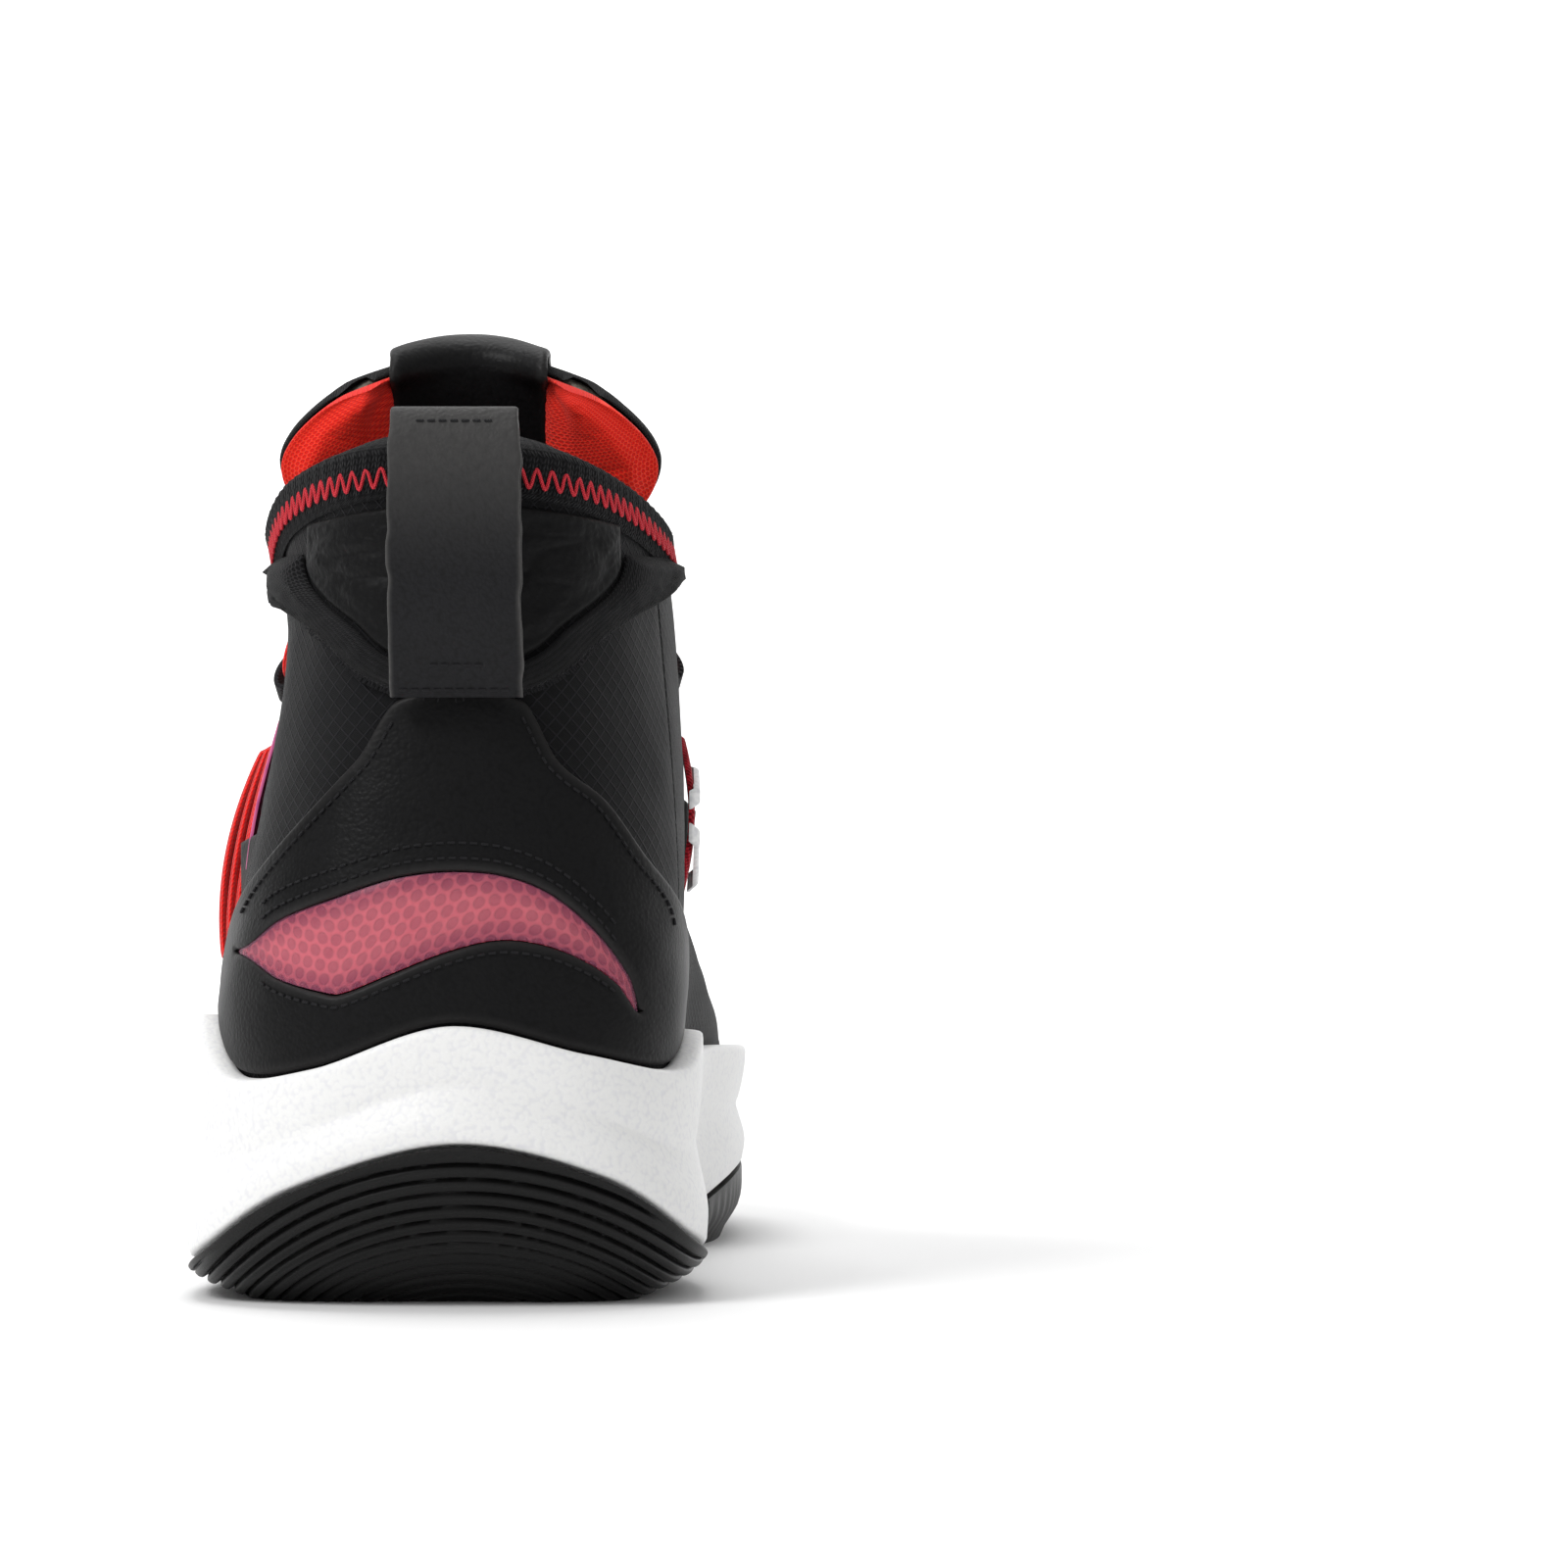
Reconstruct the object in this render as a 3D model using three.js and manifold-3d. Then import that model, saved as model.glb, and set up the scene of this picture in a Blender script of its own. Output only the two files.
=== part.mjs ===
// Basketball high top, left foot, as separate pieces. Millimetres, +Z up, toe towards +Y.
// x = 0 is the middle of the heel, +x the inner (medial) side, y = 0 the rearmost sole point,
// z = 0 the ground. The finished group is moved so that its origin is the centre of its base.
import * as THREE from 'three';
import Module from 'manifold-3d';

const wasm = await Module();
wasm.setup();

// ---------------------------------------------------------------- driving dimensions
const GAP = 0.4;                 // clearance between neighbouring pieces
const SHELL = 1.4;               // outer fabric of the upper
const OVERLAY = 1.2;             // leather sewn on top of it
const LINING = 1.5;              // sock lining
const STIFFENER = 1.8;           // heel counter inside the upper
const COLLAR_PAD = 5.0;          // foam round the ankle
const TOE_PUFF = 1.0;            // stiffener over the toes
const BOARD = 1.9;               // lasting board under the foot
const INSOLE = 4.0;              // removable sockliner
const RUBBER = 4.5;              // outsole thickness
const SHANK = 2.2;               // plate under the arch
const TOE_SPRING = 9;            // lift of the sole at the toe
const TOE_SPRING_START = 215;    // y where that lift begins
const BAND = 8;                  // height of the knitted collar band
const STRAP_WIDTH = 23.4;        // heel pull loop
const STRAP_CENTRE = 1.4;
const LACE_WIDTH = 4.2;
const LACE_THICK = 2.0;
const ROWS = [8.05, 7.3, 6.55, 5.8, 5.1];      // lace rows, as stations, toe to ankle
const TAB_WIDTH = 29.6;
const LACE_CLEAR = 4.4;          // the lace's middle line above the edge of the throat
const LACE_OVER = 4.6;           // rise of the upper strand at a crossing
const LACE_UNDER = 1.4;          // rise of the lower strand
const LACE_BAR = 1.4;            // rise of the lowest, straight strand
const LACE_SIDES = 6;

// Stations round the shoe: 0 is the heel's middle, 11 the toe tip, 1-10 the outer side and
// 12-21 the inner side. Each holds the upper's profile (base, low, high, top: a cubic curve),
// and the sole's edge there: outline [x, y], rim of the midsole, rim of the rubber.
const STATIONS = [
  { base: [0, 12, 22], low: [0, -2, 60], high: [1, 30, 112], top: [2, 13, 152],
    edge: [1, 0.5], rim: 50, rubber: 28.5 },
  { base: [-20, 15, 22], low: [-29, 3, 60], high: [-14, 33, 112], top: [-17, 20, 151],
    edge: [-28, 7], rim: 42.5, rubber: 20.5 },
  { base: [-33, 30, 22], low: [-47, 20, 60], high: [-24, 48, 105], top: [-30, 41, 146.5],
    edge: [-45, 23], rim: 41, rubber: 9.5 },
  { base: [-38, 52, 22], low: [-55, 50, 62], high: [-23, 70, 100], top: [-35.5, 66, 139],
    edge: [-49, 47], rim: 50.5, rubber: 5.5 },
  { base: [-38, 80, 21], low: [-52, 82, 62], high: [-28, 88, 98], top: [-33, 92, 136],
    edge: [-47.5, 80], rim: 45, rubber: 5 },
  { base: [-39, 110, 19], low: [-51, 112, 55], high: [-40, 112, 90], top: [-27, 112, 124],
    edge: [-48, 112], rim: 38, rubber: 5 },
  { base: [-43, 140, 17], low: [-54, 142, 48], high: [-46, 140, 78], top: [-20, 138, 103],
    edge: [-52, 144], rim: 35, rubber: 6 },
  { base: [-49, 175, 15], low: [-60, 178, 42], high: [-52, 176, 64], top: [-15.5, 166, 83],
    edge: [-58, 180], rim: 35, rubber: 8 },
  { base: [-50, 212, 15], low: [-61, 218, 38], high: [-52, 214, 58], top: [-12.5, 191, 70],
    edge: [-59, 216], rim: 33, rubber: 9 },
  { base: [-42, 250, 17], low: [-51, 258, 38], high: [-42, 252, 57], top: [-9.5, 204, 65],
    edge: [-51, 253], rim: 32, rubber: 12 },
  { base: [-20, 279, 19], low: [-26, 290, 38], high: [-22, 280, 56], top: [-5, 210, 63.5],
    edge: [-26, 287], rim: 33, rubber: 18 },
  { base: [4, 289, 20], low: [5, 302, 40], high: [4, 288, 58], top: [0, 212, 63],
    edge: [5, 299], rim: 35, rubber: 22 },
  { base: [24, 281, 20], low: [30, 293, 40], high: [24, 282, 57], top: [5, 210, 63.5],
    edge: [31, 289], rim: 35, rubber: 19 },
  { base: [36, 257, 18], low: [45, 264, 38], high: [38, 258, 58], top: [9.5, 204, 65],
    edge: [45, 260], rim: 36, rubber: 16 },
  { base: [41, 222, 16], low: [52, 226, 38], high: [45, 220, 60], top: [12.5, 191, 70],
    edge: [50.5, 224], rim: 38, rubber: 15 },
  { base: [40, 190, 15], low: [51, 190, 42], high: [46, 187, 68], top: [15.5, 166, 83],
    edge: [49.5, 191], rim: 40, rubber: 13 },
  { base: [33, 155, 16], low: [44, 156, 48], high: [44, 150, 84], top: [21, 138, 103],
    edge: [42, 157], rim: 41, rubber: 8 },
  { base: [30, 122, 18], low: [41, 122, 55], high: [45, 118, 96], top: [28, 112, 124],
    edge: [38, 123], rim: 40, rubber: 6 },
  { base: [31, 90, 20], low: [41, 90, 62], high: [42, 94, 104], top: [34.5, 92, 136],
    edge: [40, 91], rim: 42, rubber: 5.5 },
  { base: [35, 58, 22], low: [45, 56, 62], high: [40, 72, 104], top: [37.5, 66, 139],
    edge: [45, 58], rim: 48, rubber: 7 },
  { base: [33, 32, 22], low: [44, 22, 60], high: [33, 50, 106], top: [31, 41, 145.5],
    edge: [43.5, 25], rim: 42, rubber: 11.5 },
  { base: [20, 16, 22], low: [28, 4, 60], high: [19, 34, 112], top: [20, 21, 150.5],
    edge: [28, 7], rim: 45, rubber: 22.5 },
];
const COUNT = STATIONS.length;
const TOE = COUNT / 2;

// ---------------------------------------------------------------- small helpers
const vec = (x, y, z) => new THREE.Vector3(x, y, z);
const lerp = THREE.MathUtils.lerp;
const clamp01 = (value) => Math.min(1, Math.max(0, value));
const smooth = (value) => { const c = clamp01(value); return c * c * (3 - 2 * c); };
const steps = (from, to, count) => Array.from({ length: count + 1 }, (_, k) => lerp(from, to, k / count));
const mirrorStation = (station) => COUNT - station;
const sideOf = (station) => Math.min(station, mirrorStation(station));

/** Smooth closed interpolation through a list of numbers, one per station. */
function cyclic(values, station) {
  const cell = Math.floor(station);
  const f = station - cell;
  const [a, b, c, d] = [-1, 0, 1, 2].map((k) => values[(cell + k + 2 * COUNT) % COUNT]);
  return b + 0.5 * f * (c - a + f * (2 * a - 5 * b + 4 * c - d + f * (3 * (b - c) + d - a)));
}

/** Smooth interpolation through [place, value] pairs, flat past the ends. */
function through(pairs, place) {
  const last = pairs.length - 1;
  if (place <= pairs[0][0]) return pairs[0][1];
  if (place >= pairs[last][0]) return pairs[last][1];
  const k = pairs.findIndex((pair) => pair[0] > place) - 1;
  const slope = (n) => {
    if (n === 0 || n === last) return 0;
    return (pairs[n + 1][1] - pairs[n - 1][1]) / (pairs[n + 1][0] - pairs[n - 1][0]);
  };
  const width = pairs[k + 1][0] - pairs[k][0];
  const f = (place - pairs[k][0]) / width;
  const rise = pairs[k + 1][1] - pairs[k][1];
  const start = slope(k) * width;
  const end = slope(k + 1) * width;
  return pairs[k][1] + f * (start + f * (3 * rise - 2 * start - end + f * (start + end - 2 * rise)));
}

const column = (key, axis) => STATIONS.map((station) => station[key][axis]);
const CURVES = ['base', 'low', 'high', 'top'].map((key) => [0, 1, 2].map((axis) => column(key, axis)));
const EDGE = [0, 1].map((axis) => column('edge', axis));
const RIM = STATIONS.map((station) => station.rim);
const RUBBER_RIM = STATIONS.map((station) => station.rubber);

/** Point of the upper's outer surface: station round the shoe, t from base (0) to top (1). */
function surface(station, t) {
  const weights = [(1 - t) ** 3, 3 * t * (1 - t) ** 2, 3 * t * t * (1 - t), t ** 3];
  const point = [0, 0, 0];
  CURVES.forEach((curve, c) => curve.forEach((values, axis) => {
    point[axis] += weights[c] * cyclic(values, station);
  }));
  return vec(...point);
}

/** Outward unit normal of that surface. */
function normalAt(station, t) {
  const low = Math.min(t, 0.995);
  const along = surface(station + 0.01, low).sub(surface(station - 0.01, low));
  const up = surface(station, low + 0.005).sub(surface(station, Math.max(0, low - 0.005)));
  return up.cross(along).normalize();
}

/** The surface moved outwards by an offset. */
function shellPoint(station, t, offset) {
  return surface(station, t).addScaledVector(normalAt(station, t), offset);
}

/** The t at which the surface reaches a height. */
function atHeight(station, z) {
  let [low, high] = [0, 1];
  for (let n = 0; n < 26; n += 1) {
    const middle = (low + high) / 2;
    if (surface(station, middle).z < z) low = middle; else high = middle;
  }
  return (low + high) / 2;
}

/** [station, t] of the heel's surface seen from behind at (x, z); outer side is x < 0. */
function fromBehind(x, z) {
  let [low, high] = [-4, 4];
  for (let n = 0; n < 26; n += 1) {
    const middle = (low + high) / 2;
    if (surface(middle, atHeight(middle, z)).x > x) low = middle; else high = middle;
  }
  const station = (low + high) / 2;
  return [station, atHeight(station, z)];
}

const toeLift = (y) => TOE_SPRING * Math.max(0, (y - TOE_SPRING_START) / (300 - TOE_SPRING_START)) ** 1.6;

/** Room between shell and lining: heel stiffener, collar foam and toe puff sit in it. */
function stuffing(station, t) {
  const wrapped = ((station % COUNT) + COUNT) % COUNT;
  const side = Math.min(wrapped, mirrorStation(wrapped));
  const collar = (COLLAR_PAD + GAP) * smooth((t - 0.66) / 0.12) * smooth((4.4 - side) / 1.1);
  const counter = (STIFFENER + GAP) * smooth((0.62 - t) / 0.08) * smooth((4.3 - side) / 0.8);
  const toe = (TOE_PUFF + GAP) * smooth((side - 8.6) / 0.6) * smooth((0.62 - t) / 0.1);
  return collar + counter + toe;
}
const liningOuter = (station, t) => -SHELL - GAP - stuffing(station, t);
const liningInner = (station, t) => liningOuter(station, t) - LINING;

// ---------------------------------------------------------------- solids
/** One closed solid from points and triangles; turned the right way out. */
function solid(points, triangles) {
  const volume = triangles.reduce((sum, [a, b, c]) => (
    sum + points[a].dot(points[b].clone().cross(points[c]))), 0);
  const faces = volume < 0 ? triangles.map(([a, b, c]) => [a, c, b]) : triangles;
  const geometry = new THREE.BufferGeometry();
  geometry.setAttribute('position', new THREE.Float32BufferAttribute(points.flatMap((p) => p.toArray()), 3));
  geometry.setIndex(faces.flat());
  return geometry;
}

/** Sheet with thickness: place(a, b, layer) gives the inner (0) and outer (1) skin. */
function sheet(columns, rows, place) {
  const points = [];
  const index = (a, b, layer) => (layer * (columns + 1) + a) * (rows + 1) + b;
  for (const layer of [0, 1]) {
    for (let a = 0; a <= columns; a += 1) {
      for (let b = 0; b <= rows; b += 1) points.push(place(a / columns, b / rows, layer));
    }
  }
  const triangles = [];
  const quad = (p, q, r, s) => triangles.push([p, q, r], [p, r, s]);
  for (let a = 0; a < columns; a += 1) {
    for (let b = 0; b < rows; b += 1) {
      quad(index(a, b, 1), index(a + 1, b, 1), index(a + 1, b + 1, 1), index(a, b + 1, 1));
      quad(index(a, b, 0), index(a, b + 1, 0), index(a + 1, b + 1, 0), index(a + 1, b, 0));
    }
    quad(index(a, 0, 0), index(a + 1, 0, 0), index(a + 1, 0, 1), index(a, 0, 1));
    quad(index(a, rows, 1), index(a + 1, rows, 1), index(a + 1, rows, 0), index(a, rows, 0));
  }
  for (let b = 0; b < rows; b += 1) {
    quad(index(0, b, 1), index(0, b + 1, 1), index(0, b + 1, 0), index(0, b, 0));
    quad(index(columns, b, 0), index(columns, b + 1, 0), index(columns, b + 1, 1), index(columns, b, 1));
  }
  return solid(points, triangles);
}

// Layers that lie on each other share these grid lines, so that their facets stay parallel.
const STEP = 0.5;                // stations between columns
const TOP = 0.984;               // t where fabric and lining end, under the collar band
const LEVELS = 12;               // rows between base and top
const level = (row) => (TOP * row) / LEVELS;

/** Piece of the upper between two stations; low and high give its t limits at a station. */
function panel({ from, to, columns, rows, low, high, inner, outer }) {
  return sheet(columns, rows, (a, b, layer) => {
    const station = lerp(from, to, a);
    const t = lerp(low(station), high(station), b);
    const offset = layer ? outer : inner;
    return shellPoint(station, t, typeof offset === 'function' ? offset(station, t) : offset);
  });
}

/** Piece of the heel drawn as seen from behind: outline(a, b) gives [x, z]. */
function heelPatch(columns, rows, outline, inner, outer) {
  return sheet(columns, rows, (a, b, layer) => {
    const [station, t] = fromBehind(...outline(a, b));
    return shellPoint(station, t, layer ? outer : inner);
  });
}

/** Triangles of a flat polygon given as [x, y] pairs, each turning the way the polygon does. */
function fillPolygon(corners) {
  const faces = THREE.ShapeUtils.triangulateShape(corners.map(([x, y]) => new THREE.Vector2(x, y)), []);
  return faces.map((face) => face.sort((a, b) => a - b));
}

/** Stack of rings of equal length, closed at both ends by a zigzag across the ring. Open rings
 *  run from one side to the other, and get a flat face from their ends. */
function ringStack(rings, open = false) {
  const size = rings[0].length;
  const triangles = [];
  for (let k = 0; k + 1 < rings.length; k += 1) {
    for (let j = 0; j < (open ? size - 1 : size); j += 1) {
      const [p, q] = [k * size + j, k * size + ((j + 1) % size)];
      triangles.push([p, q, q + size], [p, q + size, p + size]);
    }
  }
  if (open) {
    const corners = [...rings.keys()].map((k) => k * size)
      .concat([...rings.keys()].reverse().map((k) => k * size + size - 1));
    const points = rings.flat();
    const across = points[size - 1].clone().sub(points[0]).normalize();
    const alongWidth = (c) => points[c].clone().sub(points[0]).dot(across);
    const faces = fillPolygon(corners.map((c) => [alongWidth(c), points[c].z]));
    triangles.push(...faces.map((face) => face.map((corner) => corners[corner])));
  }
  const capEnd = (start, flip) => {
    let [left, right] = [0, size - 1];
    while (right - left > 1) {
      const first = [start + left, start + left + 1, start + right];
      triangles.push(flip ? first : first.reverse());
      left += 1;
      if (right - left > 1) {
        const second = [start + left, start + right - 1, start + right];
        triangles.push(flip ? second : second.reverse());
        right -= 1;
      }
    }
  };
  capEnd(0, false);
  capEnd((rings.length - 1) * size, true);
  return solid(rings.flat(), triangles);
}

/** Boolean cut of one closed geometry by another. */
function cut(geometry, tool) {
  const body = (source) => new wasm.Manifold(new wasm.Mesh({
    numProp: 3,
    vertProperties: Float32Array.from(source.attributes.position.array),
    triVerts: Uint32Array.from(source.index.array),
  }));
  const mesh = body(geometry).subtract(body(tool)).getMesh();
  const result = new THREE.BufferGeometry();
  result.setAttribute('position', new THREE.Float32BufferAttribute(mesh.vertProperties, 3));
  result.setIndex(Array.from(mesh.triVerts));
  return result;
}

// ---------------------------------------------------------------- materials
const FINISHES = {
  rubber: [0x232323, 0.75], foam: [0xeeeeee, 0.6], plate: [0x2b2b2e, 0.4], board: [0xd8cfc0, 0.9],
  insole: [0x1b1b1d, 0.9], lining: [0x9d1414, 0.9], stiffener: [0xcfc6b4, 0.8], padding: [0x7a7468, 0.95],
  ripstop: [0x141416, 0.8], leather: [0x19191b, 0.5], strap: [0x303032, 0.5], window: [0xd2606e, 0.5],
  film: [0xe7a9b2, 0.3], mesh: [0x17171a, 0.9], knit: [0x151517, 0.95], webbing: [0xa3101c, 0.8],
  lace: [0xe02a20, 0.8], white: [0xf2f2f2, 0.7], red: [0xe92a1e, 0.9],
};
const shoe = new THREE.Group();

function add(name, finish, geometry) {
  const [color, roughness] = FINISHES[finish];
  const mesh = new THREE.Mesh(geometry, new THREE.MeshStandardMaterial({ color, roughness, metalness: 0 }));
  mesh.name = name;
  shoe.add(mesh);
}

// ---------------------------------------------------------------- sole
const edgePoint = (station) => vec(cyclic(EDGE[0], station), cyclic(EDGE[1], station), 0);

/** Horizontal outward direction of the sole's edge. */
function edgeOut(station) {
  const along = edgePoint(station + 0.02).sub(edgePoint(station - 0.02));
  return vec(-along.y, along.x, 0).normalize();
}

/** Point of the sole: moved in from the edge, at a height above the toe's lift. */
function solePoint(station, inset, z) {
  const point = edgePoint(station).addScaledVector(edgeOut(station), -inset);
  point.z = z + toeLift(point.y);
  return point;
}

const rubberRim = (station) => cyclic(RUBBER_RIM, station) - toeLift(edgePoint(station).y);
const heelBevel = (station) => through([[0, 25], [1, 17], [2, 8], [3, 4.5], [6, 3]], Math.abs(station));
const HEEL_END = 4.75;           // stations where the heel rubber stops, y about 105
const FORE_START = 6.35;         // and where the forefoot rubber starts, y about 155
const HEEL_PLACES = [...steps(0, 2.5, 10), ...steps(3, 4.5, 3), HEEL_END];
const ARCH_PLACES = [HEEL_END + 0.03, HEEL_END + 0.1, 5.5, FORE_START - 0.1, FORE_START - 0.03];
const FORE_PLACES = [FORE_START, ...steps(6.5, TOE, 9)];
const bothSides = (places) =>
  [...places, ...places.filter((s) => s % TOE !== 0).reverse().map(mirrorStation)];
const foreBevel = (station) => through([[6, 4], [9, 5], [TOE, 11], [13, 6], [16, 4]], station);

function heelOutsole() {
  const places = [...HEEL_PLACES.slice(1).reverse().map((s) => -s), ...HEEL_PLACES];
  const ring = (inset, height) => places.map((s) => solePoint(s, inset(s), height(s)));
  return ringStack([
    ring(heelBevel, () => 0),
    ring((s) => heelBevel(s) * 0.34, (s) => rubberRim(s) * 0.42),
    ring(() => 0, (s) => rubberRim(s) - 1),
    ring(() => 0.5, rubberRim),
    ring(() => RUBBER - 0.5, rubberRim),
    ring((s) => heelBevel(s) * 0.34 + RUBBER, (s) => Math.max(RUBBER, rubberRim(s) * 0.42 + 1)),
    ring((s) => heelBevel(s) + RUBBER, () => RUBBER),
  ], true);
}

function forefootOutsole() {
  const places = bothSides(FORE_PLACES);
  const ring = (inset, height) => places.map((s) => solePoint(s, inset(s), height(s)));
  return ringStack([
    ring(foreBevel, () => 0),
    ring(() => 0.6, (s) => rubberRim(s) * 0.45),
    ring(() => 0, rubberRim),
    ring(() => 2.4, rubberRim),
    ring(() => 3.2, (s) => Math.max(RUBBER, rubberRim(s) * 0.6)),
    ring((s) => foreBevel(s) + 3, () => RUBBER),
  ], true);
}

/** Height of the midsole's underside: over the rubber, and higher in the arch. */
const underside = (station) => {
  const side = Math.min(station, mirrorStation(station));
  const arch = smooth((side - HEEL_END - 0.03) / 0.07) * smooth((FORE_START - 0.03 - side) / 0.07);
  return RUBBER + GAP + (SHANK + 1) * arch;
};

function midsole() {
  const places = bothSides([...HEEL_PLACES, ...ARCH_PLACES, ...FORE_PLACES]);
  const heel = (s) => (sideOf(s) < HEEL_END + 0.05 ? 1 : 0);
  const rubber = (s) => sideOf(s) < HEEL_END + 0.05 || sideOf(s) > FORE_START - 0.05;
  const lowEdge = (s) => (rubber(s) ? rubberRim(s) + GAP : underside(s) + 3);
  const lip = (s) => (heel(s) > 0.5 ? RUBBER : 3.2) + GAP;
  const wellInset = (s) => (heel(s) > 0.5 ? heelBevel(sideOf(s)) * 0.34 + RUBBER : 3.4) + GAP;
  const floorInset = (s) => (heel(s) > 0.5 ? heelBevel(sideOf(s)) + RUBBER : foreBevel(s) + 3) + GAP;
  const wellHeight = (s) => (heel(s) > 0.5
    ? Math.max(RUBBER, rubberRim(s) * 0.42 + 1) : Math.max(RUBBER, rubberRim(s) * 0.6)) + GAP;
  const rim = (s) => cyclic(RIM, s);
  const wall = (s, z, offset) => shellPoint(s, atHeight(s, z), offset);
  const outside = (s, share, out) => {
    const low = solePoint(s, 0, lowEdge(s));
    const high = wall(s, rim(s) - 1, 5.2);
    return low.lerp(high, share).addScaledVector(edgeOut(s), out);
  };
  const ring = (place) => places.map(place);
  return ringStack([
    ring((s) => solePoint(s, floorInset(s), underside(s))),
    ring((s) => solePoint(s, wellInset(s), rubber(s) ? wellHeight(s) : underside(s) + 0.5)),
    ring((s) => solePoint(s, lip(s), lowEdge(s))),
    ring((s) => solePoint(s, 0.8, lowEdge(s))),
    ring((s) => outside(s, 0.22, 0.2)),
    ring((s) => outside(s, 0.5, -1.6)),
    ring((s) => outside(s, 0.72, -0.6)),
    ring((s) => wall(s, rim(s) - 1.2, 5.2)),
    ring((s) => wall(s, rim(s), 3.6)),
    ring((s) => wall(s, rim(s) - 0.4, GAP)),
    ring((s) => wall(s, lerp(rim(s), surface(s, 0).z, 0.33), GAP + 0.25)),
    ring((s) => wall(s, lerp(rim(s), surface(s, 0).z, 0.66), GAP + 0.25)),
    ring((s) => shellPoint(s, 0.012, GAP + 0.25)),
    ring((s) => shellPoint(s, 0, GAP).setZ(surface(s, 0).z - BOARD - 2 * GAP)),
  ]);
}

/** Ring of the foot bed: the upper's inside at a height above its base, pulled in by an inset. */
function bedRing(height, inset, count = 2 * COUNT) {
  return steps(0, COUNT, count).slice(0, -1).map((s) => {
    const base = surface(s, 0);
    const t = height > 0 ? atHeight(s, base.z + height) : 0;
    const point = shellPoint(s, t, inset(s, t));
    return point.setZ(base.z + height);
  });
}

/** Plate under the arch, waisted at its middle. */
function archPlate() {
  const [from, to] = [HEEL_END + 0.24, FORE_START - 0.24];
  const inset = (s) => 7 + 5 * Math.sin((Math.PI * (sideOf(s) - from)) / (to - from));
  const places = bothSides(steps(from, to, 6));
  const bottom = RUBBER + 0.9;
  return ringStack([bottom, bottom + SHANK].map((z) => places.map((s) => solePoint(s, inset(s), z))));
}

add('heel_outsole', 'rubber', heelOutsole());
add('forefoot_outsole', 'rubber', forefootOutsole());
add('arch_plate', 'plate', archPlate());
add('midsole', 'foam', midsole());
add('lasting_board', 'board', ringStack([bedRing(-BOARD - GAP, () => -0.6), bedRing(-GAP, () => -0.6)]));
add('insole', 'insole', ringStack([
  bedRing(1.6, (s, t) => liningInner(s, t) - 2.2),
  bedRing(1.6 + INSOLE, (s, t) => liningInner(s, t) - 1.6)]));

// ---------------------------------------------------------------- upper: fabric, pads, lining
const SEAM = 0.015;              // half of the gap between neighbouring panels, in stations
const REAR_SEAM = 2.5;           // heel panel meets the quarters
const TOE_SEAM = 8;              // quarters meet the vamp
const shellPanel = (from, to) => panel({
  from: from + SEAM, to: to - SEAM, columns: Math.round((to - from) / STEP), rows: LEVELS,
  low: () => 0, high: () => TOP, inner: -SHELL, outer: 0 });

add('heel_panel', 'ripstop', shellPanel(-REAR_SEAM, REAR_SEAM));
add('quarter_lateral', 'ripstop', shellPanel(REAR_SEAM, TOE_SEAM));
add('quarter_medial', 'ripstop', shellPanel(mirrorStation(TOE_SEAM), mirrorStation(REAR_SEAM)));
add('vamp', 'mesh', shellPanel(TOE_SEAM, mirrorStation(TOE_SEAM)));
add('bootie_lining', 'lining', (() => {
  const columns = COUNT / STEP;
  const rings = [];
  const place = (b, offset) => steps(0, COUNT, columns).slice(0, -1)
    .map((s) => shellPoint(s, b, offset(s, b)));
  for (const b of steps(0, TOP, LEVELS)) rings.push(place(b, liningOuter));
  for (const b of steps(TOP, 0, LEVELS)) rings.push(place(b, liningInner));
  const size = columns;
  const triangles = [];
  rings.forEach((_, k) => {
    const next = (k + 1) % rings.length;
    for (let j = 0; j < size; j += 1) {
      const [p, q] = [k * size + j, k * size + ((j + 1) % size)];
      const [r, s] = [next * size + j, next * size + ((j + 1) % size)];
      triangles.push([p, q, s], [p, s, r]);
    }
  });
  return solid(rings.flat(), triangles);
})());
add('heel_stiffener', 'stiffener', panel({
  from: -3.5, to: 3.5, columns: 14, rows: 5, low: () => level(1), high: () => level(6),
  inner: (s, t) => -SHELL - stuffing(s, t), outer: -SHELL - GAP }));
add('toe_puff', 'stiffener', panel({
  from: 9.5, to: mirrorStation(9.5), columns: 6, rows: 5, low: () => level(1), high: () => level(6),
  inner: (s, t) => -SHELL - stuffing(s, t), outer: -SHELL - GAP }));
const padPanel = (from, to) => panel({
  from: from + SEAM, to: to - SEAM, columns: Math.round((to - from) / STEP), rows: 3,
  low: () => level(9), high: () => TOP,
  inner: (s, t) => -SHELL - stuffing(s, t), outer: -SHELL - GAP });
add('collar_pad_lateral', 'padding', padPanel(1, 3.5));
add('collar_pad_heel', 'padding', padPanel(-1, 1));
add('collar_pad_medial', 'padding', padPanel(-3.5, -1));

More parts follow.
